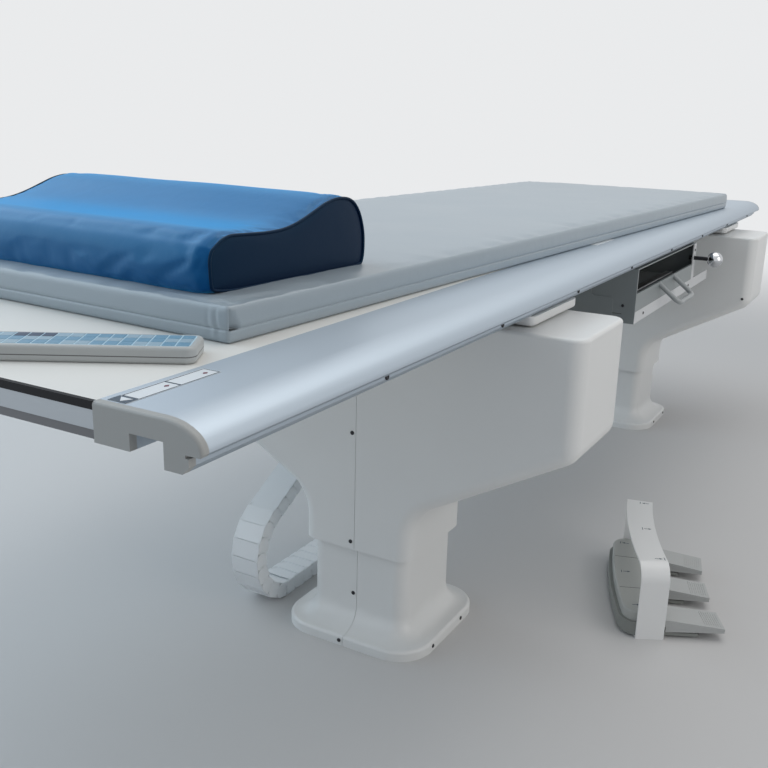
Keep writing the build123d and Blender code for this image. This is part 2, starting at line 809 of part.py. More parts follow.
# It lies on the floor, bends back over itself and rises to the housing
rise = radians(chain_slope)
bend_height = chain_bend_radius + link_half
bend_step = (180 - chain_slope) / chain_bend_links
rising_start = (chain_bend_x - chain_bend_radius * sin(rise), bend_height + chain_bend_radius * cos(rise))
link_planes = [Plane(origin=(chain_bend_x + chain_pitch * (place + 0.5), chain_near_face, link_half),
                     x_dir=(-1, 0, 0), z_dir=(0, 0, -1)) for place in range(chain_floor_links)]
for place in range(chain_bend_links):
    angle = radians(270 - bend_step * (place + 0.5))
    link_planes.append(Plane(
        origin=(chain_bend_x + chain_bend_radius * cos(angle), chain_near_face,
                bend_height + chain_bend_radius * sin(angle)),
        x_dir=(sin(angle), 0, -cos(angle)), z_dir=(cos(angle), 0, sin(angle))))
for place in range(chain_rising_links):
    along = chain_pitch * (place + 0.5)
    link_planes.append(Plane(
        origin=(rising_start[0] + along * cos(rise), chain_near_face, rising_start[1] + along * sin(rise)),
        x_dir=(cos(rise), 0, sin(rise)), z_dir=(-sin(rise), 0, cos(rise))))
with BuildPart() as energy_chain:
    with Locations(*link_planes):
        add(link.part)
save(energy_chain, "energy_chain")

# Bracket on the floor at the chain's fixed end, and the one that hangs its moving end from the housing
chain_fixed_x = chain_bend_x + chain_floor_links * chain_pitch
with BuildPart() as floor_bracket:
    with Locations((chain_fixed_x + running_gap, chain_near_face, 0)):
        Box(bracket_sheet, chain_width, chain_thickness, align=corner)
        Box(chain_thickness, chain_width, bracket_sheet, align=corner)
save(floor_bracket, "chain_floor_bracket")

rising_length = chain_rising_links * chain_pitch
end_plane = Plane(origin=(rising_start[0] + rising_length * cos(rise), chain_near_face,
                          rising_start[1] + rising_length * sin(rise)),
                  x_dir=(cos(rise), 0, sin(rise)), z_dir=(0, -1, 0))
foot_corners = [end_plane.from_local_coords(Vector(along, up, 0)) for along, up in (
    (running_gap, link_half), (running_gap, -link_half), (running_gap + bracket_sheet, -link_half),
    (running_gap + bracket_sheet, link_half))]
foot_points = [(point.X, point.Z) for point in foot_corners]
collar_half = collar_width / 2
slope_ratio = (housing_end_low - housing_waist) / (housing_reach - collar_half)
chain_far_face = chain_near_face + chain_width
near_slope = housing_waist + (chain_near_face - collar_half) * slope_ratio
far_slope = housing_waist + (chain_far_face - collar_half) * slope_ratio
with BuildPart() as lift_bracket:
    with BuildSketch(Plane.XZ.offset(-chain_near_face)):
        with BuildLine():
            Polyline(*foot_points, (foot_points[3][0], far_slope), (foot_points[0][0], far_slope),
                     close=True)
        make_face()
    extrude(amount=-chain_width)
    with BuildSketch(Plane.YZ.offset(foot_points[0][0] - chain_thickness)):
        with BuildLine():
            Polyline((chain_near_face, 0), (chain_far_face, 0), (chain_far_face, far_slope),
                     (chain_near_face, near_slope), close=True)
        make_face()
    extrude(amount=3 * chain_thickness, mode=Mode.INTERSECT)
save(lift_bracket, "chain_lift_bracket")

# Foot switch, on a plane whose origin is the arc's centre and whose y axis points towards the wall
turn = radians(switch_turn)
arc_center = (switch_x + switch_radius * sin(turn), switch_y - switch_radius * cos(turn), 0)
switch_plane = Plane(origin=arc_center, x_dir=(cos(turn), sin(turn), 0), z_dir=(0, 0, 1))
guard_angle = degrees(guard_length / 2 / switch_radius)
sheet_angle = degrees(guard_sheet / switch_radius)
foot_angle = degrees(guard_foot / switch_radius)
base_angle = guard_angle - sheet_angle - degrees(seam_gap / switch_radius)
cover_angle = base_angle - degrees(switch_cover_inset / switch_radius)
pedal_angles = [degrees(place * pedal_pitch / switch_radius) for place in (-1, 0, 1)]
front_radius = switch_radius - switch_front


def draw_ring(height, inner, outer, half_angle):
    """A slice of a ring about the arc's centre, at the given height."""
    with BuildSketch(switch_plane.offset(height)) as ring:
        with BuildLine():
            inner_arc = CenterArc((0, 0), inner, 90 - half_angle, 2 * half_angle)
            outer_arc = CenterArc((0, 0), outer, 90 - half_angle, 2 * half_angle)
            Line(inner_arc @ 0, outer_arc @ 0)
            Line(inner_arc @ 1, outer_arc @ 1)
        make_face()
    return ring.sketch


def radial_plane(angle):
    """A vertical plane at the given angle round the arc, its x axis pointing to the pedals' tips."""
    radial = radians(switch_turn + 90 - angle)
    foot = (arc_center[0] + switch_radius * cos(radial), arc_center[1] + switch_radius * sin(radial), 0)
    return upright_plane(foot, switch_turn - 90 - angle)


def draw_side(angle, *corners):
    """A closed outline on the radial plane at the given angle."""
    with BuildSketch(radial_plane(angle)) as outline:
        with BuildLine():
            Polyline(*corners, close=True)
        make_face()
    return outline.sketch


pedal_pin_reach = 2.5
pedal_pin_height = 26
pocket_back = -7.5
pocket_low = 12
pocket_roof = 3.5
switch_top = switch_base_height + switch_cover_height
pocket_high = switch_top - pocket_roof
tongue_reach = 74.5
tongue_height = 5
tongue_width = 42
pocket_width = pedal_width + 2 * seam_gap
pocket_corners = ((pocket_back, pocket_low), (2 * switch_front, pocket_low),
                  (2 * switch_front, pocket_high), (pocket_back, pocket_high))
tongue_top = foot_pad_height + tongue_height
tongue_corners = ((pocket_back, foot_pad_height), (tongue_reach, foot_pad_height),
                  (tongue_reach, tongue_top), (pocket_back, tongue_top))
pockets = [draw_side(angle, *pocket_corners) for angle in pedal_angles]
tongues = [draw_side(angle, *tongue_corners) for angle in pedal_angles]
base_ring = draw_ring(foot_pad_height, front_radius, switch_radius + switch_back, base_angle)
cover_ring = draw_ring(switch_base_height, front_radius, switch_radius + switch_back - switch_cover_inset,
                       cover_angle)

with BuildPart() as switch_base:
    extrude(base_ring, amount=switch_base_height - foot_pad_height)
    fillet(switch_base.edges().filter_by(Axis.Z).sort_by_distance(arc_center)[-2:], switch_corner)
    for tongue in tongues:
        extrude(tongue, amount=tongue_width / 2, both=True)
    for pocket in pockets:
        extrude(pocket, amount=pocket_width / 2, both=True, mode=Mode.SUBTRACT)
save(switch_base, "foot_switch_base")

with BuildPart() as switch_cover:
    extrude(cover_ring, amount=switch_cover_height)
    fillet(switch_cover.edges().filter_by(Axis.Z).sort_by_distance(arc_center)[-2:],
           switch_corner - switch_cover_inset)
    fillet(switch_cover.edges().group_by(Axis.Z)[-1], 3)
    for pocket in pockets:
        extrude(pocket, amount=pocket_width / 2, both=True, mode=Mode.SUBTRACT)
save(switch_cover, "foot_switch_cover")

with BuildPart() as pedal_pins:
    for angle in pedal_angles:
        with BuildSketch(radial_plane(angle)):
            with Locations((pedal_pin_reach, pedal_pin_height)):
                Circle(pedal_pin_radius)
        extrude(amount=pocket_width / 2, both=True)
save(pedal_pins, "pedal_pins")

pedal_back = pocket_back + 2 * seam_gap
pedal_corners = ((pedal_back, pedal_root_height - pedal_root_thickness),
                 (pedal_reach, pedal_tip_height - pedal_tip_thickness),
                 (pedal_reach, pedal_tip_height), (pedal_back, pedal_root_height))
for pedal_name, angle in zip(("near", "middle", "far"), pedal_angles):
    pedal_side = draw_side(angle, *pedal_corners)
    with BuildSketch(Plane(origin=radial_plane(angle).origin, x_dir=radial_plane(angle).x_dir,
                           z_dir=(0, 0, 1))) as pedal_plan:
        with BuildLine():
            Polyline(
                (2 * pocket_back, pedal_width / 2),
                (2 * switch_front, pedal_width / 2),
                (pedal_reach, pedal_tip_width / 2),
                (pedal_reach, -pedal_tip_width / 2),
                (2 * switch_front, -pedal_width / 2),
                (2 * pocket_back, -pedal_width / 2),
                close=True,
            )
        make_face()
    with BuildPart() as pedal:
        extrude(pedal_side, amount=pedal_width, both=True)
        extrude(pedal_plan.sketch, amount=2 * switch_top, mode=Mode.INTERSECT)
        with BuildSketch(radial_plane(angle)):
            with Locations((pedal_pin_reach, pedal_pin_height)):
                Circle(pedal_pin_radius + running_gap)
        extrude(amount=pedal_width, both=True, mode=Mode.SUBTRACT)
    save(pedal, "pedal_" + pedal_name)

# Guard: a bent strip over the pedals, cut to the same arc
guard_inner_radius = switch_radius - guard_width / 2
guard_outer_radius = switch_radius + guard_width / 2
guard_ring = draw_ring(0, guard_inner_radius, guard_outer_radius, guard_angle)
space_ring = draw_ring(guard_sheet, guard_inner_radius - guard_sheet, guard_outer_radius + guard_sheet,
                       guard_angle - sheet_angle)
foot_ring = draw_ring(0, guard_inner_radius - guard_sheet, guard_outer_radius + guard_sheet,
                      guard_angle - foot_angle)
with BuildPart() as guard_space:
    extrude(space_ring, amount=guard_height - 2 * guard_sheet)
    fillet(guard_space.edges().group_by(Axis.Z)[-1].filter_by(GeomType.LINE), guard_bend - guard_sheet)
with BuildPart() as guard:
    extrude(guard_ring, amount=guard_height)
    fillet(guard.edges().group_by(Axis.Z)[-1].filter_by(GeomType.LINE), guard_bend)
    add(guard_space.part, mode=Mode.SUBTRACT)
    extrude(foot_ring, amount=guard_sheet, mode=Mode.SUBTRACT)
save(guard, "foot_switch_guard")

# Rubber pads under the foot switch
pad_places = [(switch_radius + switch_back / 2 + foot_pad_radius, base_angle / 2),
              (switch_radius - foot_pad_radius, base_angle / 3)]
with BuildPart() as foot_pads:
    with BuildSketch(switch_plane):
        for distance, spread in pad_places:
            with PolarLocations(distance, 2, 90 - spread, 2 * spread, endpoint=True):
                Circle(foot_pad_radius)
    extrude(amount=foot_pad_height)
save(foot_pads, "foot_switch_pads")
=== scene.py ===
import math

import bmesh
import bpy
from mathutils import Matrix, Vector, noise


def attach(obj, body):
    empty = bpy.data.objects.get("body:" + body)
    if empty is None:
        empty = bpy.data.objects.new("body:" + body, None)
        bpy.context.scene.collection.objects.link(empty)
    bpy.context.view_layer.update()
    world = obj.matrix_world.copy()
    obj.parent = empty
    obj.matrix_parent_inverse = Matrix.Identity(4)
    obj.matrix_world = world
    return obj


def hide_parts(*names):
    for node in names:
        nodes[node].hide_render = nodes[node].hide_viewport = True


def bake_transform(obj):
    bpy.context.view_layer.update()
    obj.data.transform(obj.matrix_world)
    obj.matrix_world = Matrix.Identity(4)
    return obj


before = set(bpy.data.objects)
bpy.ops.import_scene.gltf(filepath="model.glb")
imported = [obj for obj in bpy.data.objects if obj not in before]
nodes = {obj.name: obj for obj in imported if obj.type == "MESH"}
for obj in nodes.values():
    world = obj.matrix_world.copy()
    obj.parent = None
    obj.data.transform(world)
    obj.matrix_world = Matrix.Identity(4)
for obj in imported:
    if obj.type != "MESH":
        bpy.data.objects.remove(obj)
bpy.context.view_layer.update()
sides = ("near", "far")
halves = ("operator", "wall")

# The camera stands beyond the pillow end on the operator's side and looks along the table.
# Its place, angles and lens were fitted to the table's straight edges.
camera_place = Vector((-1.7302, -0.6343, 0.745))
camera_yaw = math.radians(29.70)
camera_pitch = math.radians(16.22)
camera_roll = math.radians(1.48)
camera_data = bpy.data.cameras.new("camera")
camera_data.lens = 43.54
camera_data.sensor_width = 36
camera_data.clip_end = 40
camera = bpy.data.objects.new("camera", camera_data)
bpy.context.scene.collection.objects.link(camera)
ahead = Vector((math.cos(camera_yaw) * math.cos(camera_pitch), math.sin(camera_yaw) * math.cos(camera_pitch),
                -math.sin(camera_pitch)))
level = Vector((math.sin(camera_yaw), -math.cos(camera_yaw), 0))
upright = level.cross(ahead)
right = math.cos(camera_roll) * level + math.sin(camera_roll) * upright
up = -math.sin(camera_roll) * level + math.cos(camera_roll) * upright
camera.matrix_world = Matrix.Translation(camera_place) @ Matrix((right, up, -ahead)).transposed().to_4x4()
bpy.context.scene.camera = camera


# Painted columns: two steel columns, each inside a two-part moulded cover that flares out on the floor.
# The covers are off-white with a fine orange-peel skin, and are screwed together along a fine seam.
def feed(node, inputs):
    """Gives each named input of a node a value, or a link from another node's output."""
    for name, value in inputs.items():
        if isinstance(value, bpy.types.NodeSocket):
            node.id_data.links.new(value, node.inputs[name])
        else:
            node.inputs[name].default_value = value


def add_node(tree, kind, inputs, **settings):
    """A new node with its settings and its fed inputs."""
    node = tree.nodes.new(kind)
    for name, value in settings.items():
        setattr(node, name, value)
    feed(node, inputs)
    return node


def skin_group():
    """Colour, roughness and normal of a coated or moulded skin: soft mottling and a fine grain."""
    tree = bpy.data.node_groups.new("coated_skin", "ShaderNodeTree")
    for name, kind, value in (("Colour", "Color", (0.8, 0.8, 0.8, 1)), ("Roughness", "Float", 0.4),
                              ("Grain Scale", "Float", 800), ("Grain Depth", "Float", 0.05),
                              ("Mottle", "Float", 0.04), ("Stretch", "Vector", (1, 1, 1))):
        socket = tree.interface.new_socket(name, in_out="INPUT", socket_type="NodeSocket" + kind)
        socket.default_value = value
    for name, kind in (("Colour", "Color"), ("Roughness", "Float"), ("Normal", "Vector")):
        tree.interface.new_socket(name, in_out="OUTPUT", socket_type="NodeSocket" + kind)
    given = tree.nodes.new("NodeGroupInput")
    place = tree.nodes.new("ShaderNodeTexCoord")
    spread = add_node(tree, "ShaderNodeVectorMath", {0: place.outputs["Object"], 1: given.outputs["Stretch"]},
                      operation="MULTIPLY")
    grain = add_node(tree, "ShaderNodeTexNoise", {
        "Vector": spread.outputs[0], "Scale": given.outputs["Grain Scale"], "Detail": 2})
    bump = add_node(tree, "ShaderNodeBump", {
        "Strength": given.outputs["Grain Depth"], "Distance": 0.001, "Height": grain.outputs["Fac"]})
    cloud = add_node(tree, "ShaderNodeTexNoise", {"Vector": spread.outputs[0], "Scale": 7, "Detail": 3})
    centred = add_node(tree, "ShaderNodeMath", {0: cloud.outputs["Fac"], 1: 0.5}, operation="SUBTRACT")
    amount = add_node(tree, "ShaderNodeMath", {0: centred.outputs[0], 1: given.outputs["Mottle"], 2: 1},
                      operation="MULTIPLY_ADD")
    tint = add_node(tree, "ShaderNodeVectorMath", {0: given.outputs["Colour"], "Scale": amount.outputs[0]},
                    operation="SCALE")
    uneven = add_node(tree, "ShaderNodeMath", {0: centred.outputs[0], 1: 0.12, 2: given.outputs["Roughness"]},
                      operation="MULTIPLY_ADD")
    add_node(tree, "NodeGroupOutput", {"Colour": tint.outputs[0], "Roughness": uneven.outputs[0],
                                       "Normal": bump.outputs["Normal"]})
    return tree


coated_skin = skin_group()


def finish_of(name, colour, roughness, grain=800, depth=0.05, mottle=0.04, metallic=0.0, coat=0.0,
              stretch=(1, 1, 1), specular=0.5):
    """A material whose colour, roughness and grain come from the coated skin."""
    material = bpy.data.materials.new(name)
    material.use_nodes = True
    skin = add_node(material.node_tree, "ShaderNodeGroup", {
        "Colour": (*colour, 1), "Roughness": roughness, "Grain Scale": grain, "Grain Depth": depth,
        "Mottle": mottle, "Stretch": stretch}, node_tree=coated_skin)
    feed(material.node_tree.nodes["Principled BSDF"], {
        "Base Color": skin.outputs["Colour"], "Roughness": skin.outputs["Roughness"],
        "Normal": skin.outputs["Normal"], "Metallic": metallic, "Specular IOR Level": specular,
        "Coat Weight": coat, "Coat Roughness": 0.15})
    return material


def dress(material, *names):
    """Gives the named CAD pieces one material."""
    for name in names:
        mesh = nodes[name].data
        mesh.materials.clear()
        mesh.materials.append(material)


white_paint = finish_of("white_paint", (0.74, 0.745, 0.735), 0.38, grain=700, depth=0.06)
bare_steel = finish_of("bare_steel", (0.50, 0.51, 0.52), 0.38, grain=300, depth=0.08, mottle=0.2, metallic=1,
                       stretch=(1, 1, 0.05))
dress(white_paint, *[f"{side}_column_cover_{half}" for side in sides for half in halves])
dress(bare_steel, "near_floor_column", "far_floor_column")


# Screws: small dark button heads with a round socket, in the covers, in the heads and along both rails.
# They are blackened steel. One head is drawn, and a node tree sets a copy on every point, facing out.
def plain_mesh(name, points, faces, smooth=False):
    """A new object from points and faces."""
    mesh = bpy.data.meshes.new(name)
    mesh.from_pydata([tuple(p) for p in points], [], faces)
    mesh.validate()
    mesh.update()
    for face in mesh.polygons:
        face.use_smooth = smooth
    piece = bpy.data.objects.new(name, mesh)
    bpy.context.scene.collection.objects.link(piece)
    return piece


def copies_tree():
    """Sets a copy of a piece on every point, its x along one named direction and its z along another."""
    tree = bpy.data.node_groups.new("copies_on_points", "GeometryNodeTree")
    for name, kind in (("Geometry", "Geometry"), ("Piece", "Object"), ("Size", "Float"),
                       ("Finish", "Material")):
        tree.interface.new_socket(name, in_out="INPUT", socket_type="NodeSocket" + kind)
    tree.interface.new_socket("Geometry", in_out="OUTPUT", socket_type="NodeSocketGeometry")
    given = tree.nodes.new("NodeGroupInput")
    source = add_node(tree, "GeometryNodeObjectInfo", {"Object": given.outputs["Piece"], "As Instance": True})
    turn = {}
    for direction, axis, pivot in (("along", "X", "AUTO"), ("outward", "Z", "X")):
        named = add_node(tree, "GeometryNodeInputNamedAttribute", {"Name": direction}, data_type="FLOAT_VECTOR")
        align = add_node(tree, "FunctionNodeAlignRotationToVector",
                         {"Vector": named.outputs["Attribute"], **turn}, axis=axis, pivot_axis=pivot)
        turn = {"Rotation": align.outputs["Rotation"]}
    copies = add_node(tree, "GeometryNodeInstanceOnPoints", {
        "Points": given.outputs["Geometry"], "Instance": source.outputs["Geometry"],
        "Scale": given.outputs["Size"], **turn})
    solid = add_node(tree, "GeometryNodeRealizeInstances", {"Geometry": copies.outputs["Instances"]})
    painted = add_node(tree, "GeometryNodeSetMaterial", {"Geometry": solid.outputs["Geometry"],
                                                         "Material": given.outputs["Finish"]})
    add_node(tree, "NodeGroupOutput", {"Geometry": painted.outputs["Geometry"]})
    return tree


copies_on_points = copies_tree()


def set_copies(name, piece, spots, finish, size=1.0):
    """One plain mesh with a copy of a piece at each (place, along, outward)."""
    holder = plain_mesh(name + "_spots", [spot[0] for spot in spots], [])
    for direction, which in (("along", 1), ("outward", 2)):
        layer = holder.data.attributes.new(direction, "FLOAT_VECTOR", "POINT")
        for item, spot in zip(layer.data, spots):
            item.vector = spot[which]
    modifier = holder.modifiers.new("copies", "NODES")
    modifier.node_group = copies_on_points
    values = {"Piece": piece, "Size": size, "Finish": finish}
    for socket in copies_on_points.interface.items_tree:
        if socket.in_out == "INPUT" and socket.name in values:
            modifier[socket.identifier] = values[socket.name]
    holder.update_tag()
    bpy.context.view_layer.update()
    seen = holder.evaluated_get(bpy.context.evaluated_depsgraph_get())
    mesh = bpy.data.meshes.new_from_object(seen)
    made = bpy.data.objects.new(name, mesh)
    bpy.context.scene.collection.objects.link(made)
    bpy.data.objects.remove(holder)
    return made


def turned_profile(name, profile, count):
    """A closed solid of revolution about z from (radius, height) pairs that start and end on the axis."""
    rings = profile[1:-1]
    turns = [2 * math.pi * i / count for i in range(count)]
    points = [(0, 0, profile[0][1])]
    for radius, height in rings:
        points += [(radius * math.cos(turn), radius * math.sin(turn), height) for turn in turns]
    points.append((0, 0, profile[-1][1]))
    last = len(points) - 1
    faces = [(0, 1 + (i + 1) % count, 1 + i) for i in range(count)]
    for ring in range(len(rings) - 1):
        low = 1 + ring * count
        faces += [(low + i, low + (i + 1) % count, low + count + (i + 1) % count, low + count + i)
                  for i in range(count)]
    top = 1 + (len(rings) - 1) * count
    faces += [(top + i, top + (i + 1) % count, last) for i in range(count)]
    return plain_mesh(name, points, faces, smooth=True)


black_oxide = finish_of("black_oxide", (0.035, 0.035, 0.04), 0.35, grain=1500, depth=0.1, metallic=0.6)
head_radius, head_height = 0.003, 0.0015
screw_profile = [(0, 0), (head_radius, 0), (head_radius, head_height * 0.45),
                 (head_radius * 0.82, head_height * 0.85), (head_radius * 0.5, head_height),
                 (head_radius * 0.42, head_height * 0.9), (head_radius * 0.4, head_height * 0.3),
                 (0, head_height * 0.3)]
screw_head = turned_profile("screw_head", screw_profile, 16)


def screw_spots(node):
    """The middle, the axis and the depth of each CAD screw of a node, read from its box."""
    spots = []
    shape = bmesh.new()
    shape.from_mesh(nodes[node].data)
    bmesh.ops.remove_doubles(shape, verts=shape.verts, dist=1e-6)
    waiting = set(shape.verts)
    while waiting:
        island = [waiting.pop()]
        for vert in island:
            for edge in vert.link_edges:
                other = edge.other_vert(vert)
                if other in waiting:
                    waiting.remove(other)
                    island.append(other)
        low, high = (Vector([pick(v.co[axis] for v in island) for axis in range(3)]) for pick in (min, max))
        size = high - low
        axis = min(range(3), key=lambda a: size[a])
        spots.append(((low + high) / 2, axis, size[axis]))
    shape.free()
    return sorted(spots, key=lambda spot: tuple(spot[0]))


def fit_screws(node, body, outwards):
    """Detailed heads in place of a node's plain ones; outwards tells each spot's facing sign."""
    spots = []
    for centre, axis, depth in screw_spots(node):
        facing = Vector((0, 0, 0))
        facing[axis] = outwards(centre, axis)
        foot = centre - facing * depth / 2
        spots.append((foot, facing.orthogonal(), facing))
    heads = set_copies(node + "_heads", screw_head, spots, black_oxide)
    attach(heads, body)
    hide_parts(node)


column_half_pitch = 0.607
top_middle_y = 0.125


def away_from_column(centre, axis):
    """The side of the nearest column's middle that a screw faces."""
    middle = Vector((math.copysign(column_half_pitch, centre.x), 0, centre.z))
    return math.copysign(1, centre[axis] - middle[axis])


fit_screws("column_cover_screws", "floor_stand", away_from_column)
fit_screws("housing_screws", "lift_frame", away_from_column)
fit_screws("rail_screws", "table_top", lambda centre, axis: math.copysign(1, centre.y - top_middle_y))


# Lifting frame: a wide painted head over each column, made in two halves that meet at a fine seam.
# Two dark rectangular steel beams join the heads, and each head sits on a steel tube inside its column.
dark_paint = finish_of("dark_paint", (0.06, 0.062, 0.066), 0.45, grain=700, depth=0.08)
glide_plastic = finish_of("glide_plastic", (0.05, 0.05, 0.055), 0.5)
dress(white_paint, *[f"{side}_housing_{half}" for side in sides for half in halves])
dress(bare_steel, "near_lifting_column", "far_lifting_column")
dress(dark_paint, "frame_beam_operator", "frame_beam_wall")
dress(glide_plastic, "cross_guides")


# Energy chain: closed white plastic links that carry the cables up from the floor as the table rises.
# Each link has two stepped cheeks that pivot in its neighbours', and lids that overlap outside and inside.
chain_plastic = finish_of("chain_plastic", (0.76, 0.78, 0.79), 0.40, grain=400, depth=0.05)
dress(bare_steel, "chain_floor_bracket", "chain_lift_bracket")
link_pitch, link_depth = 0.0237, 0.012
chain_width, cheek_leaf, cheek_root, leaf_gap = 0.050, 0.0025, 0.002, 0.0001
lid_reach, inner_lid_reach = 0.0137, 0.0120
lid_thickness, lid_rake = 0.0013, 0.0009
lid_inset, inner_lid_inset = 0.0004, 0.0012
lid_proud, inner_lid_sunk = 0.0004, 0.0006
edge_round, sharp_angle = 0.0004, 0.9
chain_near_face = 0.154
bend_x, bend_radius = -0.635, 0.072
chain_slope = math.radians(29)


def faced_out(piece):
    """Turns all the faces of a closed piece outward."""
    shape = bmesh.new()
    shape.from_mesh(piece.data)
    bmesh.ops.recalc_face_normals(shape, faces=shape.faces)
    shape.to_mesh(piece.data)
    shape.free()


def prisms(name, pairs):
    """A piece of closed prisms, each between two outlines of as many points."""
    points, faces = [], []
    for near, far in pairs:
        first, count = len(points), len(near)
        points += [*near, *far]
        faces.append([first + i for i in reversed(range(count))])
        faces.append([first + count + i for i in range(count)])
        faces += [(first + i, first + (i + 1) % count, first + count + (i + 1) % count, first + count + i)
                  for i in range(count)]
    piece = plain_mesh(name, points, faces)
    faced_out(piece)
    return piece


def chain_link():
    """One link along x, its outer side up: two stepped cheeks with round ends, an outer and an inner lid."""
    pairs = []

    def prism(outline, low, high):
        pairs.append([[(x, y, z) for x, z in outline] for y in (low, high)])

    def leaf(way):
        arc = [(way * (link_pitch / 2 + link_depth * math.cos(t)), link_depth * math.sin(t))
               for t in [math.pi * (i / 10 - 0.5) for i in range(11)]]
        return [(-way * cheek_root, -link_depth)] + arc + [(-way * cheek_root, link_depth)]

    for outer, inner in ((0, cheek_leaf), (chain_width, chain_width - cheek_leaf)):
        way_in = math.copysign(1, inner - outer)
        prism(leaf(1), outer, inner - way_in * leaf_gap)
        prism(leaf(-1), inner + way_in * leaf_gap, inner + way_in * cheek_leaf)
    top, low = link_depth + lid_proud, -link_depth + inner_lid_sunk
    prism([(-lid_reach, top - lid_rake), (-lid_reach, top - lid_rake - lid_thickness),
           (lid_reach, top - lid_thickness), (lid_reach, top)], lid_inset, chain_width - lid_inset)
    prism([(-inner_lid_reach, low), (inner_lid_reach, low - lid_rake),
           (inner_lid_reach, low - lid_rake + lid_thickness), (-inner_lid_reach, low + lid_thickness)],
          inner_lid_inset, chain_width - inner_lid_inset)
    piece = prisms("link", pairs)
    shape = bmesh.new()
    shape.from_mesh(piece.data)
    sharp = [edge for edge in shape.edges if edge.calc_face_angle(0) > sharp_angle]
    bmesh.ops.bevel(shape, geom=sharp, offset=edge_round, segments=2, affect="EDGES")
    shape.to_mesh(piece.data)
    shape.free()
    return piece


bend_height = bend_radius + link_depth
floor_links, bend_links, rising_links = 7, 8, 6
bend_step = (math.pi - chain_slope) / bend_links
rise_start = Vector((bend_x - bend_radius * math.sin(chain_slope), chain_near_face,
                     bend_height + bend_radius * math.cos(chain_slope)))
rise_along = Vector((math.cos(chain_slope), 0, math.sin(chain_slope)))
chain_spots = [(Vector((bend_x + link_pitch * (i + 0.5), chain_near_face, link_depth + 0.0005)),
                Vector((-1, 0, 0)), Vector((0, 0, -1))) for i in reversed(range(floor_links))]
for i in range(bend_links):
    angle = 1.5 * math.pi - bend_step * (i + 0.5)
    chain_spots.append((Vector((bend_x + bend_radius * math.cos(angle), chain_near_face,
                                bend_height + bend_radius * math.sin(angle))),
                        Vector((math.sin(angle), 0, -math.cos(angle))),
                        Vector((math.cos(angle), 0, math.sin(angle)))))
for i in range(rising_links):
    chain_spots.append((rise_start + rise_along * link_pitch * (i + 0.5), rise_along,
                        Vector((-rise_along.z, 0, rise_along.x))))
one_link = chain_link()
energy_chain = set_copies("energy_chain_links", one_link, chain_spots, chain_plastic)
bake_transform(energy_chain)
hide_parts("energy_chain")
bpy.data.objects.remove(one_link)


# Cross carriages: flat painted roller boxes under each rail, on steel beams across the columns.
# The boxes are folded sheet, and plastic shoes under the beams glide on the heads as the top is pushed across.
box_paint = finish_of("box_paint", (0.74, 0.745, 0.74), 0.34, grain=700, depth=0.05)
dress(bare_steel, "near_cross_beam", "far_cross_beam")
dress(glide_plastic, "glide_shoes")
dress(box_paint, *[f"{side}_roller_box_{half}" for side in sides for half in halves])


# Drawer unit: a grey sheet-metal box hung on the beams, with a pale front frame and a stepped side cover.
# Its tray slides out on a bent bar handle, and a chrome ball knob locks its travel.
sheet_grey = finish_of("sheet_grey", (0.24, 0.265, 0.27), 0.42, grain=900, depth=0.06)
handle_grey = finish_of("handle_grey", (0.33, 0.35, 0.355), 0.4, grain=900, depth=0.05)
grid_black = finish_of("grid_black", (0.02, 0.021, 0.024), 0.5)
dress(sheet_grey, "bucky_housing", "bucky_front_frame", "bucky_side_cover", "tray", "bucky_runners")
dress(grid_black, "bucky_grid")
dress(handle_grey, "tray_handle")
dress(bare_steel, "tray_jaw_front", "tray_jaw_back")
dress(black_oxide, "lock_stem")
frame_strip_top, frame_post_side = 0.4332, 0.2335
pale_frame_paint = finish_of("pale_frame_paint", (0.60, 0.61, 0.62), 0.36, grain=700, depth=0.05)
front_frame = nodes["bucky_front_frame"].data
front_frame.materials.append(pale_frame_paint)
for face in front_frame.polygons:
    middle = sum((front_frame.vertices[i].co for i in face.vertices), Vector()) / len(face.vertices)
    face.material_index = int(middle.z < frame_strip_top or middle.x > frame_post_side)
bucky_screw_spots = [(Vector(place), Vector(facing).orthogonal(), Vector(facing)) for place, facing in (
    ((-0.184, -0.2138, 0.4428), (-1, 0, 0)), ((-0.184, -0.144, 0.439), (-1, 0, 0)),
    ((-0.184, -0.144, 0.4565), (-1, 0, 0)), ((-0.127, -0.235, 0.4235), (0, -1, 0)),
    ((0.215, -0.235, 0.4235), (0, -1, 0)), ((0.245, -0.235, 0.492), (0, -1, 0)))]
bucky_heads = set_copies("bucky_screw_heads", screw_head, bucky_screw_spots, black_oxide, size=0.85)
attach(bucky_heads, "bucky")
bpy.data.objects.remove(screw_head)
chrome = finish_of("chrome", (0.58, 0.59, 0.61), 0.08, grain=60, depth=0.01, mottle=0.03, metallic=1)
dress(chrome, "lock_ball")


def flat_print(name, finish, outlines, place, thickness=0.0002):
    """Thin flat shapes: each outline is extruded upward a little from the plane that place gives."""
    piece = prisms(name, [[[place @ Vector((x, y, z)) for x, y in outline] for z in (0, thickness)]
                          for outline in outlines])
    piece.data.materials.append(finish)
    return piece


def box_outline(x, y, width, height):
    """The corners of an upright rectangle."""
    return [(x, y), (x + width, y), (x + width, y + height), (x, y + height)]


# The drawer unit's side sheet has a fine stepped seam, pressed in. Its shade is painted: thin dark strips lie
# on the sheet along the seam.
groove_painted_shade = finish_of("groove_painted_shade", (0.05, 0.052, 0.05), 0.6)
side_plane = Matrix(((0, 0, -1, -0.1841), (-1, 0, 0, 0), (0, 1, 0, 0), (0, 0, 0, 1)))
side_seam = flat_print("bucky_side_seam", groove_painted_shade, [
    box_outline(0.148, 0.4513, 0.042, 0.0009), box_outline(0.1891, 0.4290, 0.0009, 0.0223),
    box_outline(0.1891, 0.4281, 0.024, 0.0009)], side_plane, thickness=0.00015)
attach(side_seam, "bucky")


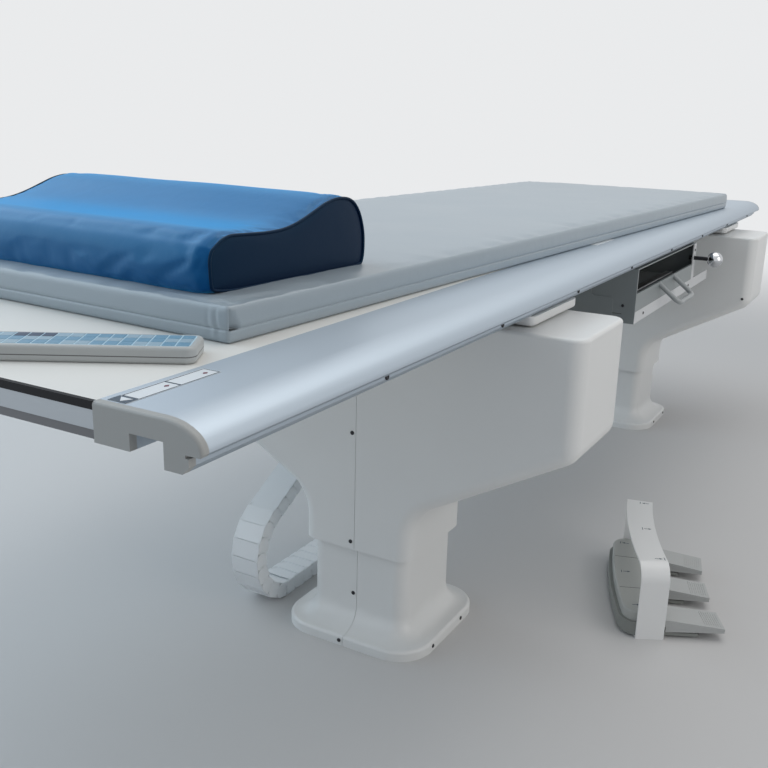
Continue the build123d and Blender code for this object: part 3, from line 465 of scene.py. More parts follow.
# Table top: a cream laminate panel with black strips and aluminium profiles at its ends.
# Both long edges are satin anodised rails with a rounded nose, closed by moulded grey caps.
laminate = finish_of("laminate", (0.76, 0.75, 0.715), 0.42, grain=1200, depth=0.03, mottle=0.02, specular=0.35)
anodised = finish_of("anodised", (0.43, 0.49, 0.55), 0.50, grain=260, depth=0.05, mottle=0.05, metallic=1,
                     stretch=(0.02, 1, 1))
cap_plastic = finish_of("cap_plastic", (0.36, 0.365, 0.355), 0.5, grain=500, depth=0.08)
strip_black = finish_of("strip_black", (0.010, 0.010, 0.012), 0.55, grain=900, specular=0.2)
dress(laminate, "laminate_panel")
dress(strip_black, "edge_strips")
dress(anodised, "rail_operator", "rail_wall")
dress(cap_plastic, "end_caps")


def skin_of(material):
    """The coated skin inside a material."""
    return next(node for node in material.node_tree.nodes if node.type == "GROUP")


# Painted shade: the recessed web under each end profile's upper lip is coloured darker than the lip, standing
# in for the shade in its undercut.
shaded_web_top, web_fade = 0.5264, 0.0002
end_profile_metal = anodised.copy()
end_profile_metal.name = "end_profile_metal"
tree = end_profile_metal.node_tree
place = tree.nodes.new("ShaderNodeTexCoord")
axes = add_node(tree, "ShaderNodeSeparateXYZ", {0: place.outputs["Object"]})
step = add_node(tree, "ShaderNodeMapRange", {"Value": axes.outputs["Z"], "From Min": shaded_web_top - web_fade,
                                             "From Max": shaded_web_top + web_fade})
blend = add_node(tree, "ShaderNodeMix", {"Factor": step.outputs["Result"], "A": (0.17, 0.175, 0.185, 1),
                                         "B": (0.40, 0.43, 0.46, 1)}, data_type="RGBA")
feed(skin_of(end_profile_metal), {"Colour": blend.outputs["Result"]})
dress(end_profile_metal, "end_profiles")


# Printed labels on the rail: a dark corner mark, a long pale strip with two small symbols and a plain one.
# They are thin film, stuck on the rail's flat top, and carry no words.
label_film = finish_of("label_film", (0.74, 0.77, 0.79), 0.4, grain=600, depth=0.02)
label_ink = finish_of("label_ink", (0.045, 0.07, 0.10), 0.45, grain=600, depth=0.02)
label_red = finish_of("label_red", (0.16, 0.035, 0.06), 0.45, grain=600, depth=0.02)
rail_top = 0.548
label_place = Matrix.Translation((-1.288, -0.1775, rail_top + 0.0001))


def frame_outlines(x, y, width, height, line):
    """Four bars round a rectangle."""
    return [box_outline(x, y, width, line), box_outline(x, y + height - line, width, line),
            box_outline(x, y + line, line, height - 2 * line),
            box_outline(x + width - line, y + line, line, height - 2 * line)]


over_label = Matrix.Translation((0, 0, 0.00025))
symbol_middles = ((0.0485, 0.0075), (0.0915, 0.0075))
rail_prints = [
    ("rail_label_strip", label_film, [box_outline(0.0, 0, 0.1015, 0.018)], label_place),
    ("rail_label_corner", label_ink, [box_outline(0.0002, 0.0004, 0.0120, 0.0174)], over_label @ label_place),
    ("rail_label_arrow", label_film, [[(0.0018, 0.0075), (0.0095, 0.0028), (0.0095, 0.0140)]],
     over_label @ over_label @ label_place),
    ("rail_label_lines", label_ink, frame_outlines(0.0130, 0.0003, 0.0430, 0.0165, 0.00045)
     + frame_outlines(0.0565, 0.0003, 0.0440, 0.0165, 0.00045), over_label @ label_place),
    ("rail_label_symbols", label_red, [[(x - 0.0028, y), (x, y - 0.0020), (x + 0.0028, y), (x, y + 0.0020)]
                                       for x, y in symbol_middles], over_label @ label_place),
    ("rail_label_plain", label_film, [box_outline(0, 0, 0.094, 0.018)],
     Matrix.Translation((-0.245, -0.1795, rail_top + 0.0001))),
]
for name, finish, outlines, place in rail_prints:
    piece = flat_print(name, finish, outlines, place)
    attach(piece, "table_top")


# Mattress: a thin foam pad in pale grey-blue vinyl, welded along a seam low on its side.
# Its top is a little crowned, its cover is folded and tucked at the corner by the handset, and it lies askew.
mattress_size = Vector((1.750, 0.516, 0.034))
mattress_edge = 0.0045
mattress_place = Matrix.Translation((-1.115, -0.127, 0.548)) @ Matrix.Rotation(math.radians(-2.9), 4, "Z")


def crowded(size, edge, step, fine=()):
    """Stops from 0 to size that crowd together near both ends, and at the fine ones near the start."""
    near = [0, edge * 0.12, edge * 0.3, edge * 0.55, edge * 0.8, edge * 1.1, edge * 2]
    first = near + [stop for stop in fine if stop > near[-1] + 0.0004]
    count = max(1, round((size - first[-1] - near[-1]) / step))
    middle = [first[-1] + (size - near[-1] - first[-1]) * i / count for i in range(1, count)]
    return first + middle + [size - stop for stop in reversed(near)]


def block_mesh(name, xs, ys, zs, shape):
    """A closed skin of quads over a block with the given stops, each point moved by shape(x, y, z)."""
    points, faces, seen = [], [], {}
    last = (len(xs) - 1, len(ys) - 1, len(zs) - 1)

    def at(i, j, k):
        if (i, j, k) not in seen:
            seen[i, j, k] = len(points)
            points.append(shape(xs[i], ys[j], zs[k]))
        return seen[i, j, k]

    def quad(*corners):
        faces.append([at(*corner) for corner in corners])

    for i in range(last[0]):
        for j in range(last[1]):
            quad((i, j, last[2]), (i + 1, j, last[2]), (i + 1, j + 1, last[2]), (i, j + 1, last[2]))
            quad((i, j, 0), (i, j + 1, 0), (i + 1, j + 1, 0), (i + 1, j, 0))
        for k in range(last[2]):
            quad((i, 0, k), (i + 1, 0, k), (i + 1, 0, k + 1), (i, 0, k + 1))
            quad((i, last[1], k), (i, last[1], k + 1), (i + 1, last[1], k + 1), (i + 1, last[1], k))
    for j in range(last[1]):
        for k in range(last[2]):
            quad((0, j, k), (0, j, k + 1), (0, j + 1, k + 1), (0, j + 1, k))
            quad((last[0], j, k), (last[0], j + 1, k), (last[0], j + 1, k + 1), (last[0], j, k + 1))
    return plain_mesh(name, points, faces, smooth=True)


def swell(piece, pressure, growth, cap, held, steps=20):
    """Lets a closed cover fill out like a padded one; held tells how firmly a point stays, from 0 to 1."""
    mesh = piece.data
    before = [vert.co.copy() for vert in mesh.vertices]
    group = piece.vertex_groups.new(name="held")
    for index, place in enumerate(before):
        group.add([index], held(place), "REPLACE")
    cloth = piece.modifiers.new("swell", "CLOTH")
    settings = cloth.settings
    settings.quality = 5
    settings.mass = 0.3
    settings.tension_stiffness = settings.compression_stiffness = 25
    settings.shear_stiffness = 8
    settings.bending_stiffness = 0.6
    settings.use_pressure = True
    settings.uniform_pressure_force = pressure
    settings.effector_weights.gravity = 0
    settings.shrink_min = -growth
    settings.vertex_group_mass = "held"
    for number in range(1, steps + 1):
        bpy.context.scene.frame_set(number)
    seen = piece.evaluated_get(bpy.context.evaluated_depsgraph_get())
    after = [vert.co.copy() for vert in seen.data.vertices]
    piece.modifiers.remove(cloth)
    piece.vertex_groups.clear()
    bpy.context.scene.frame_set(1)
    for vert, old, new in zip(mesh.vertices, before, after):
        step = new - old
        if step.length > 0:
            vert.co = old + step * (cap * math.tanh(step.length / cap) / step.length)
    mesh.update()


seam_height, seam_depth, seam_half = 0.0125, 0.0012, 0.0008
crown_rise, crown_reach = 0.0012, 0.05
slow_drift, fine_drift, side_bulge, side_ripple = 0.0005, 0.0003, 0.0010, 0.0006
fold_start, fold_least, fold_width, fold_depth, fold_top = 0.001, 0.004, 0.016, 0.0075, 0.0325
pucker_reach, pucker_pitch, pucker_depth = 0.030, 0.011, 0.0007


def mattress_point(x, y, z):
    """A block's point rounded at the edges, crowned on top, pinched along the seam and folded at one corner."""
    point = Vector((x, y, z))
    core = Vector([min(max(point[a], mattress_edge), mattress_size[a] - mattress_edge) for a in range(3)])
    out = point - core
    if out.length > 0:
        point = core + out.normalized() * mattress_edge
    to_edge = min(x, mattress_size.x - x, y, mattress_size.y - y)
    rise = 1 - math.exp(-max(to_edge, 0) / crown_reach)
    drift = noise.noise(Vector((x * 5, y * 7, 1.3))) * slow_drift
    drift += noise.noise(Vector((x * 22, y * 26, 4.1))) * fine_drift
    if z > mattress_size.z - 1e-6:
        point.z += crown_rise * rise + drift * rise
    elif z > 1e-6:
        bulge = math.sin(math.pi * z / mattress_size.z)
        pinch = math.exp(-((z - seam_height) / seam_half) ** 2)
        flat = Vector((out.x, out.y, 0))
        if flat.length > 0:
            ripple = noise.noise(Vector((x * 16, y * 16, z * 30))) * side_ripple
            point += flat.normalized() * (side_bulge * bulge + ripple * bulge - seam_depth * pinch)
        if y < 1e-6 and seam_height < z < fold_top:
            high = (z - seam_height) / (fold_top - seam_height)
            width = fold_least + fold_width * (1 - high) * 0.75
            if fold_start < x < width:
                point.y += fold_depth * (1 - ((x - fold_start) / (width - fold_start)) ** 1.5) * (1 - high ** 3)
        if x < 1e-6 and y < pucker_reach:
            fall = math.sin(math.pi * min(1, y / pucker_reach)) * math.sin(math.pi * z / mattress_size.z)
            turn = y * 2 * math.pi / pucker_pitch + 3 * noise.noise(Vector((y * 90, z * 60, 2)))
            point.x += pucker_depth * fall * math.sin(turn)
    return mattress_place @ point


mattress_heights = [0, 0.0008, 0.0018, 0.003, 0.0045, 0.007, 0.010, 0.0112, 0.0118, 0.0122, 0.0125, 0.0128,
                    0.0133, 0.0142, 0.0165, 0.020, 0.024, 0.027, 0.0295, 0.0315, 0.0328, 0.0336, 0.034]
mattress = block_mesh("mattress_cover",
                      crowded(mattress_size.x, mattress_edge, 0.018, [0.001 * i for i in range(6, 20)]),
                      crowded(mattress_size.y, mattress_edge, 0.018, [0.0015 * i for i in range(6, 22)]),
                      mattress_heights, mattress_point)
mattress_top = mattress_place.translation.z + mattress_size.z
swell(mattress, 0.5, 0.004, 0.0022, lambda place: 0.0 if place.z > mattress_top - 0.0004 else 1.0, steps=12)


def vinyl_of(name, colour, roughness, coat, wrinkle, fold_scale=26, stretch=(1, 1, 1)):
    """Coated fabric: a fine leather grain over soft wrinkles, with a thin gloss."""
    material = finish_of(name, colour, roughness, grain=1100, depth=0.10, mottle=0.06, coat=coat)
    tree = material.node_tree
    place = tree.nodes.new("ShaderNodeTexCoord")
    spread = add_node(tree, "ShaderNodeVectorMath", {0: place.outputs["Object"], 1: stretch},
                      operation="MULTIPLY")
    folds = add_node(tree, "ShaderNodeTexNoise", {
        "Vector": spread.outputs[0], "Scale": fold_scale, "Detail": 4, "Distortion": 0.6})
    soft = add_node(tree, "ShaderNodeBump", {
        "Strength": wrinkle, "Distance": 0.004, "Height": folds.outputs["Fac"],
        "Normal": skin_of(material).outputs["Normal"]})
    feed(tree.nodes["Principled BSDF"], {"Normal": soft.outputs["Normal"], "Coat Roughness": 0.28})
    return material


mattress_vinyl = vinyl_of("mattress_vinyl", (0.30, 0.355, 0.395), 0.40, 0.25, 0.14)
mattress.data.materials.append(mattress_vinyl)
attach(mattress, "table_top")
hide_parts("mattress")

# Painted shade: a thin dark wedge sits at the seam in the tucked fold's pocket, standing in for the shade
# inside the fold.
slit_painted_shade = finish_of("slit_painted_shade", (0.02, 0.024, 0.028), 0.6)
slit_near, slit_long, slit_high = 0.0015, 0.0125, 0.0012
slit = prisms("mattress_fold_slit", [[[mattress_place @ Vector((x, y, seam_height + z)) for x, z in (
    (slit_near, 0), (slit_long, 0), (slit_near, slit_high))] for y in (-0.0004, 0.0030)]])
slit.data.materials.append(slit_painted_shade)
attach(slit, "table_top")


# Pillow: a contoured foam pillow in glossy royal-blue vinyl with a low lobe, a dip and a high lobe.
# Its flat end panels are sewn in with a thin piping, and the cover swells and puckers beside it.
pillow_place = Matrix.Translation((-1.096, -0.087, 0.582)) @ Matrix.Rotation(math.radians(-3.5), 4, "Z")
pillow_width = 0.442
pillow_outline = [(0.0, 0.0255), (0.0005, 0.036), (0.0044, 0.0446), (0.0106, 0.0485), (0.0205, 0.0529),
                  (0.033, 0.0550), (0.050, 0.0543), (0.072, 0.0534), (0.090, 0.0532), (0.108, 0.0542),
                  (0.125, 0.0572), (0.143, 0.0625), (0.161, 0.0690), (0.178, 0.0750), (0.194, 0.0783),
                  (0.2075, 0.0786), (0.221, 0.0762), (0.232, 0.0695), (0.2415, 0.0570), (0.2478, 0.0390),
                  (0.2490, 0.0210), (0.2465, 0.0065), (0.2395, 0.0009), (0.215, 0.0), (0.150, 0.0),
                  (0.080, 0.0), (0.020, 0.0), (0.0075, 0.0010), (0.0020, 0.0065)]


def smooth_loop(corners, count):
    """Points evenly spread round a smooth closed line through the given corners."""
    line = []
    total = len(corners)
    for i in range(total):
        a, b, c, d = (Vector(corners[(i + o) % total]) for o in (-1, 0, 1, 2))
        for step in range(24):
            t = step / 24
            line.append(0.5 * ((2 * b) + (c - a) * t + (2 * a - 5 * b + 4 * c - d) * t * t
                               + (3 * b - a - 3 * c + d) * t ** 3))
    lengths = [0]
    for i in range(len(line)):
        lengths.append(lengths[-1] + (line[(i + 1) % len(line)] - line[i]).length)
    result = []
    spot = 0
    for i in range(count):
        target = lengths[-1] * i / count
        while lengths[spot + 1] < target:
            spot += 1
        part = (target - lengths[spot]) / (lengths[spot + 1] - lengths[spot])
        result.append(line[spot].lerp(line[(spot + 1) % len(line)], part))
    return result


loop_count, ring_count = 240, 74
loop = smooth_loop(pillow_outline, loop_count)
normals = []
for i in range(loop_count):
    run = loop[(i + 1) % loop_count] - loop[i - 1]
    normals.append(Vector((-run.y, run.x)).normalized())
loop_middle = Vector((0.120, 0.030))
seam_inset, seam_ring_reach = 0.0019, 0.0016
gather_turn, gather_reach, gather_start, gather_height = 118, 0.016, 0.004, 0.0011
cover_drift = 0.0006


def pillow_rings():
    """(across, inward offset, scale to the middle) for each ring from one end panel to the other."""
    half = [(-0.0010, 0.0, 0.12), (-0.0009, 0.0, 0.4), (-0.0007, 0.0, 0.65), (-0.0001, 0.0, 0.86),
            (0.0009, 0.0, 0.96), (seam_ring_reach, seam_inset, 1)]
    half += [(seam_ring_reach + 0.0165 * t, seam_inset * (1 - math.sin(math.pi / 2 * t)), 1)
             for t in (0.03, 0.08, 0.15, 0.24, 0.35, 0.48, 0.62, 0.78, 1.0)]
    start = half[-1][0]
    middle = [(start + (pillow_width - 2 * start) * i / ring_count, 0.0, 1) for i in range(1, ring_count)]
    return half + middle + [(pillow_width - across, inset, scale) for across, inset, scale in reversed(half)]


def seam_tuck(i):
    """How much deeper than usual the seam sits at a place round the panel."""
    return 1 + 2.0 * math.exp(-(loop[i].x / 0.022) ** 2)


def pillow_point(i, across, inset, scale):
    """One point of the pillow's skin; the seam is tucked further in along the front of the low lobe."""
    inset *= seam_tuck(i)
    flat = loop[i] - normals[i] * inset
    if scale < 1:
        flat = loop_middle.lerp(loop[i] - normals[i] * seam_inset * seam_tuck(i), scale)
    to_end = min(across, pillow_width - across)
    if scale == 1 and flat.y > 0.003:
        run = i / loop_count * gather_turn
        fade = math.exp(-to_end / gather_reach) * min(1, max(0, to_end - seam_ring_reach) / gather_start)
        pucker = math.sin(run + 4 * noise.noise(Vector((run * 0.2, 3.1, 0))))
        pucker *= 0.6 + 0.5 * noise.noise(Vector((run * 0.35, 9.0, 0)))
        drift = noise.noise(Vector((flat.x * 12, across * 9, flat.y * 12))) * cover_drift
        flat = flat + normals[i] * (pucker * fade * gather_height + drift)
    flat.y = max(flat.y, 0.0)
    return pillow_place @ Vector((flat.x, across, flat.y))


rings = pillow_rings()
pillow_points = [pillow_point(i, *ring) for ring in rings for i in range(loop_count)]
pillow_faces = [(r * loop_count + i, r * loop_count + (i + 1) % loop_count,
                 (r + 1) * loop_count + (i + 1) % loop_count, (r + 1) * loop_count + i)
                for r in range(len(rings) - 1) for i in range(loop_count)]
for ring in (0, len(rings) - 1):
    middle_index = len(pillow_points)
    pillow_points.append(pillow_place @ Vector((loop_middle.x, rings[ring][0], loop_middle.y)))
    pillow_faces += [(ring * loop_count + i, ring * loop_count + (i + 1) % loop_count, middle_index)
                     for i in range(loop_count)]
pillow = plain_mesh("pillow_cover", pillow_points, pillow_faces, smooth=True)
end_rings = 5
for index, face in enumerate(pillow.data.polygons):
    ring = index // loop_count
    if ring < end_rings or ring >= len(rings) - 1 - end_rings:
        face.material_index = 1
faced_out(pillow)
back_to_pillow = pillow_place.inverted()


def pillow_hold(place):
    """The seams and the underside stay; the rest of the cover is free."""
    own = back_to_pillow @ place
    to_end = min(own.y, pillow_width - own.y)
    if own.z < 0.0035 or to_end < seam_ring_reach + 0.0008:
        return 1.0
    return max(0.0, 1 - (to_end - seam_ring_reach) / 0.006)


swell(pillow, 2.5, 0.006, 0.0022, pillow_hold)
pillow_vinyl = vinyl_of("pillow_vinyl", (0.0, 0.042, 0.175), 0.34, 0.0, 0.08, fold_scale=60,
                        stretch=(1, 0.8, 1))
panel_vinyl = vinyl_of("panel_vinyl", (0.001, 0.006, 0.028), 0.5, 0.04, 0.10)
for vinyl, gloss in ((pillow_vinyl, 0.55), (panel_vinyl, 0.22)):
    feed(vinyl.node_tree.nodes["Principled BSDF"], {
        "Specular IOR Level": gloss, "Specular Tint": (0.18, 0.75, 1, 1)})
feed(pillow_vinyl.node_tree.nodes["Principled BSDF"], {
    "Sheen Weight": 1, "Sheen Roughness": 0.45, "Sheen Tint": (0.05, 0.50, 1, 1)})
pillow.data.materials.append(pillow_vinyl)
pillow.data.materials.append(panel_vinyl)
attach(pillow, "table_top")
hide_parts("pillow")

piping_radius, piping_sides = 0.0015, 8
piping_across = seam_ring_reach - 0.0006
for end_name, across in (("operator", piping_across), ("wall", pillow_width - piping_across)):
    points, faces = [], []
    for i in range(loop_count):
        centre = loop[i] - normals[i] * (seam_inset * seam_tuck(i) + 0.0002)
        centre.y = max(centre.y, piping_radius)
        for side in range(piping_sides):
            turn = 2 * math.pi * side / piping_sides
            flat = centre + normals[i] * piping_radius * math.cos(turn)
            point_across = across + piping_radius * math.sin(turn)
            points.append(pillow_place @ Vector((flat.x, point_across, max(flat.y, 0))))
    for i in range(loop_count):
        for side in range(piping_sides):
            here, there = i * piping_sides, (i + 1) % loop_count * piping_sides
            other = (side + 1) % piping_sides
            faces.append((here + side, here + other, there + other, there + side))
    piping = plain_mesh("pillow_piping_" + end_name, points, faces, smooth=True)
    faced_out(piping)
    piping.data.materials.append(panel_vinyl)
    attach(piping, "table_top")


# Handset: a slim two-part grey shell with a bluish membrane keypad, lying on the laminate.
# The keys are low plates under the film, in three rows along it, with pale lines left between them.
def seam_at(material, height, width, shade):
    """Darkens a material in a narrow level band, as where two shells meet."""
    tree = material.node_tree
    skin = skin_of(material)
    place = tree.nodes.new("ShaderNodeTexCoord")
    axes = add_node(tree, "ShaderNodeSeparateXYZ", {0: place.outputs["Object"]})
    band = add_node(tree, "ShaderNodeMath", {0: axes.outputs["Z"], 1: height, 2: width / 2},
                    operation="COMPARE")
    blend = add_node(tree, "ShaderNodeMix", {"Factor": band.outputs["Value"],
                                             "A": skin.inputs["Colour"].default_value,
                                             "B": (shade, shade, shade, 1)}, data_type="RGBA")
    feed(skin, {"Colour": blend.outputs["Result"]})


shell_grey = finish_of("shell_grey", (0.42, 0.435, 0.43), 0.45, grain=900, depth=0.06)
seam_at(shell_grey, max(vert.co.z for vert in nodes["handset_lower_shell"].data.vertices), 0.0009, 0.12)
keypad_film = finish_of("keypad_film", (0.50, 0.68, 0.77), 0.32, grain=500, depth=0.03)
key_blue = finish_of("key_blue", (0.15, 0.30, 0.42), 0.34, grain=500, depth=0.03)
key_pale = finish_of("key_pale", (0.30, 0.42, 0.50), 0.34, grain=500, depth=0.03)
key_dark = finish_of("key_dark", (0.03, 0.05, 0.09), 0.34, grain=500, depth=0.03)
dress(shell_grey, "handset_lower_shell", "handset_upper_shell")
dress(keypad_film, "handset_keypad")
handset_place = Matrix.Translation((-1.1825, -0.148, 0)) @ Matrix.Rotation(math.radians(121), 4, "Z")
back_to_handset = handset_place.inverted()
keypad_points = [back_to_handset @ vert.co for vert in nodes["handset_keypad"].data.vertices]
keypad_low, keypad_high = ([pick(p[axis] for p in keypad_points) for axis in range(3)] for pick in (min, max))
key_columns, key_rows, key_gap, key_height = 15, 3, 0.0013, 0.0004
key_pitch = (keypad_high[0] - keypad_low[0] - key_gap) / key_columns
key_row_pitch = (keypad_high[1] - keypad_low[1] - key_gap) / key_rows


def key_plate(length, width):
    """A low key with softened edges, its foot at z 0."""
    half_x, half_y, soft = length / 2, width / 2, 0.0004
    points = [(x, y, z) for z, inset in ((-0.0002, 0), (key_height * 0.5, 0), (key_height, soft))
              for x, y in ((-half_x + inset, -half_y + inset), (half_x - inset, -half_y + inset),
                           (half_x - inset, half_y - inset), (-half_x + inset, half_y - inset))]
    faces = [(3, 2, 1, 0), (8, 9, 10, 11)]
    faces += [(r * 4 + i, r * 4 + (i + 1) % 4, r * 4 + 4 + (i + 1) % 4, r * 4 + 4 + i)
              for r in (0, 1) for i in range(4)]
    return plain_mesh("key", points, faces)


one_key = key_plate(key_pitch - key_gap, key_row_pitch - key_gap * 0.8)
along_handset = handset_place.to_3x3() @ Vector((1, 0, 0))
key_sets = {"blue": (key_blue, []), "pale": (key_pale, []), "dark": (key_dark, [])}
for column in range(key_columns):
    for row in range(key_rows):
        centre = Vector((keypad_low[0] + key_gap / 2 + key_pitch * (column + 0.5),
                         keypad_low[1] + key_gap / 2 + key_row_pitch * (row + 0.5), keypad_high[2]))
        kind = "pale" if (column * 2 + row) % 5 in (1, 3) else "blue"
        if row == 0 and column in (10, 11, 12):
            kind = "dark"
        key_sets[kind][1].append((handset_place @ centre, along_handset, Vector((0, 0, 1))))
for kind, (finish, spots) in key_sets.items():
    keys = set_copies("handset_keys_" + kind, one_key, spots, finish)
    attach(keys, "table_top")
bpy.data.objects.remove(one_key)


# Foot switch: a grey moulded base with a paler top, three ribbed pedals on steel pins and a guard over them,
# bent from white sheet. Two grooves split the top into a panel for each pedal; their shade is painted as thin
# dark strips. Printed arrows mark the panels.
switch_base_grey = finish_of("switch_base_grey", (0.24, 0.25, 0.235), 0.5, grain=900, depth=0.08)
switch_pale = finish_of("switch_pale", (0.43, 0.44, 0.42), 0.45, grain=900, depth=0.06)
pedal_grey = finish_of("pedal_grey", (0.42, 0.43, 0.425), 0.5, grain=900, depth=0.08)
guard_white = finish_of("guard_white", (0.78, 0.785, 0.78), 0.35, grain=700, depth=0.05)
rubber = finish_of("rubber", (0.02, 0.02, 0.02), 0.7)
dress(switch_base_grey, "foot_switch_base")
dress(switch_pale, "foot_switch_cover")
dress(pedal_grey, "pedal_near", "pedal_middle", "pedal_far")
dress(guard_white, "foot_switch_guard")
dress(rubber, "foot_switch_pads")
dress(bare_steel, "pedal_pins")
arc_centre = Vector((-0.0014, -1.2261, 0))
arc_middle = math.radians(110.30)
pedal_step = math.radians(6.297)
cover_top, guard_top = 0.040, 0.118


def on_arc(offset, radius, height):
    """A frame on the switch's arc: x runs outward, away from the arc's centre, and z up."""
    turn = arc_middle + offset
    place = arc_centre + Vector((radius * math.cos(turn), radius * math.sin(turn), height))
    return Matrix.Translation(place) @ Matrix.Rotation(turn, 4, "Z")


def arrow_mark(way, bar):
    """A small arrow along x with a short bar beyond its tip."""
    shaft = [(-0.0060 * way, -0.0006), (0.0010 * way, -0.0006), (0.0010 * way, 0.0006), (-0.0060 * way, 0.0006)]
    head = [(0.0010 * way, -0.0024), (0.0056 * way, 0), (0.0010 * way, 0.0024)]
    return [shaft, head, box_outline(bar - 0.0005, -0.0042, 0.0010, 0.0084)]


for index, (way, bar) in enumerate(((1, 0.0085), (-1, 0.0085), (-1, -0.0085))):
    offset = pedal_step * (index - 1)
    for part, height, radius in (("cover", cover_top, 0.981), ("guard", guard_top, 0.9555)):
        mark = flat_print(f"{part}_arrow_{index + 1}", label_ink, arrow_mark(way, bar),
                          on_arc(offset, radius, height + 0.00002), thickness=0.00015)
        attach(mark, "floor_stand")
# Painted shade: each groove between the pedal panels is a thin dark strip laid on the top.
for index, offset in enumerate((-pedal_step / 2, pedal_step / 2)):
    groove = flat_print(f"cover_groove_{index + 1}", groove_painted_shade, [box_outline(-0.026, -0.0005, 0.057, 0.0010)],
                        on_arc(offset, 0.9665, cover_top + 0.00002), thickness=0.00012)
    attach(groove, "floor_stand")


rib_count, rib_first, rib_pitch, rib_half = 8, 0.8575, 0.0034, 0.0195
rib_profile = ((-0.0007, -0.0003), (0, 0.0005), (0.0007, -0.0003))
skirt_wall, skirt_sunk = 0.0020, 0.0006
skirt_root, skirt_root_half, skirt_root_depth = 0.940, 0.0236, 0.0088
skirt_tip, skirt_tip_half, skirt_tip_depth = 0.8533, 0.0247, 0.0040
usual_underside = 0.018


def height_met(pedal, start, way, otherwise):
    """The height where an upright ray meets a pedal."""
    hit, spot, _, _ = nodes[pedal].ray_cast(start, Vector((0, 0, way)))
    return spot.z if hit else otherwise


# Each pedal has raised ribs near its tip. Its sides and tip are turned down a little, clear of the tongue
# under it when it is pressed.
for index, pedal in enumerate(("pedal_far", "pedal_middle", "pedal_near")):
    on_pedal = on_arc(pedal_step * (index - 1), 0, 0)
    ribs = []
    for radius in [rib_first + rib_pitch * number for number in range(rib_count)]:
        height = height_met(pedal, on_pedal @ Vector((radius, 0, 0.2)), -1, None)
        if height is not None:
            ribs.append([[on_pedal @ Vector((radius + x, y, height + z)) for x, z in rib_profile]
                         for y in (-rib_half, rib_half)])
    root, tip = [height_met(pedal, on_pedal @ Vector((radius, 0.015, -0.01)), 1, usual_underside)
                 for radius in (skirt_root, skirt_tip + 0.001)]
    walls = [[[on_pedal @ Vector((radius, way * across, height + z)) for across, z in (
        (half, skirt_sunk), (half, -depth), (half - skirt_wall, -depth), (half - skirt_wall, skirt_sunk))]
        for radius, half, height, depth in ((skirt_root, skirt_root_half, root, skirt_root_depth),
                                            (skirt_tip, skirt_tip_half, tip, skirt_tip_depth))]
        for way in (-1, 1)]
    inner = skirt_tip_half - skirt_wall
    walls.append([[on_pedal @ Vector((radius, across, tip + z)) for across, z in (
        (-inner, skirt_sunk), (-inner, -skirt_tip_depth), (inner, -skirt_tip_depth), (inner, skirt_sunk))]
        for radius in (skirt_tip, skirt_tip + skirt_wall)])
    for piece in (prisms(pedal + "_tread", ribs), prisms(pedal + "_skirt", walls)):
        piece.data.materials.append(pedal_grey)
        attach(piece, pedal)


# Studio: a plain pale floor that fades into the pale backdrop, and soft light.
# The light is brightest and coolest from the wall side, and warmer from the operator's side.
backdrop_colour = (0.82, 0.83, 0.84, 1)
floor = plain_mesh("floor", [(-9, -9, 0), (9, -9, 0), (9, 9, 0), (-9, 9, 0)], [(0, 1, 2, 3)])
floor_finish = bpy.data.materials.new("floor_finish")
floor_finish.use_nodes = True
tree = floor_finish.node_tree
shader = tree.nodes["Principled BSDF"]
feed(shader, {"Base Color": (0.58, 0.575, 0.57, 1), "Roughness": 0.75})
place = tree.nodes.new("ShaderNodeTexCoord")
reach = add_node(tree, "ShaderNodeVectorMath", {0: place.outputs["Object"]}, operation="LENGTH")
fade = add_node(tree, "ShaderNodeMapRange", {"Value": reach.outputs["Value"], "From Min": 1.5, "From Max": 4.2},
                interpolation_type="SMOOTHSTEP")
path = tree.nodes.new("ShaderNodeLightPath")
seen = add_node(tree, "ShaderNodeMath", {0: path.outputs["Is Camera Ray"], 1: path.outputs["Is Glossy Ray"]},
                operation="MAXIMUM")
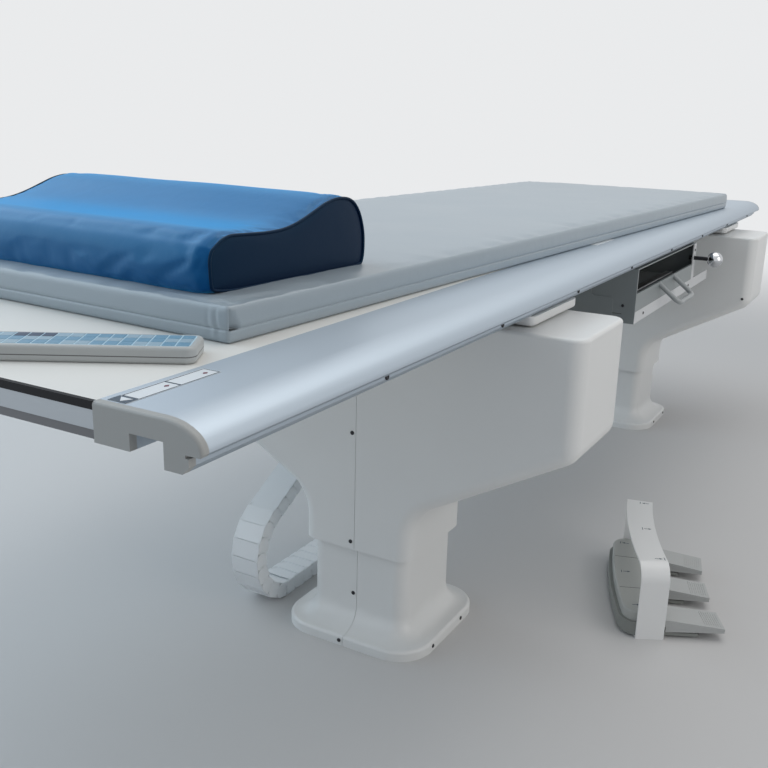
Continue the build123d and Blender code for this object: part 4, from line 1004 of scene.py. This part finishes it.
share = add_node(tree, "ShaderNodeMath", {0: fade.outputs["Result"], 1: seen.outputs["Value"]},
                 operation="MULTIPLY")
glow = add_node(tree, "ShaderNodeEmission", {"Color": backdrop_colour})
mixed = add_node(tree, "ShaderNodeMixShader", {0: share.outputs["Value"], 1: shader.outputs["BSDF"],
                                               2: glow.outputs["Emission"]})
feed(tree.nodes["Material Output"], {"Surface": mixed.outputs["Shader"]})
floor.data.materials.append(floor_finish)

world = bpy.data.worlds.new("studio")
world.use_nodes = True
bpy.context.scene.world = world
tree = world.node_tree
sky = tree.nodes["Background"]
feed(sky, {"Color": (0.80, 0.85, 0.92, 1), "Strength": 0.40})
backdrop = add_node(tree, "ShaderNodeBackground", {"Color": backdrop_colour})
path = tree.nodes.new("ShaderNodeLightPath")
seen = path.outputs["Is Camera Ray"]
for ray in ("Is Glossy Ray", "Is Transmission Ray"):
    either = add_node(tree, "ShaderNodeMath", {0: seen, 1: path.outputs[ray]}, operation="ADD", use_clamp=True)
    seen = either.outputs["Value"]
mixed = add_node(tree, "ShaderNodeMixShader", {0: seen, 1: sky.outputs[0], 2: backdrop.outputs[0]})
feed(tree.nodes["World Output"], {"Surface": mixed.outputs["Shader"]})
for name, place, target, size, power, colour in (
    ("window", (-1.3, 2.7, 2.3), (-0.3, 0, 0.5), 4.2, 82, (0.70, 0.87, 1.0)),
    ("ceiling", (0.4, -0.4, 3.2), (0, 0, 0.3), 2.8, 36, (1.0, 0.98, 0.95)),
    ("fill", (-0.6, -3.2, 1.5), (0, 0, 0.4), 2.2, 27, (1.0, 0.96, 0.91)),
    ("end_fill", (-4.0, 1.6, 1.6), (-0.6, 0, 0.3), 1.8, 9, (0.82, 0.91, 1.0)),
):
    lamp_data = bpy.data.lights.new(name, "AREA")
    lamp_data.size = size
    lamp_data.energy = power
    lamp_data.color = colour
    lamp = bpy.data.objects.new(name, lamp_data)
    bpy.context.scene.collection.objects.link(lamp)
    lamp.location = place
    lamp.rotation_euler = (Vector(target) - Vector(place)).to_track_quat("-Z", "Y").to_euler()
bpy.context.scene.view_settings.view_transform = "Standard"
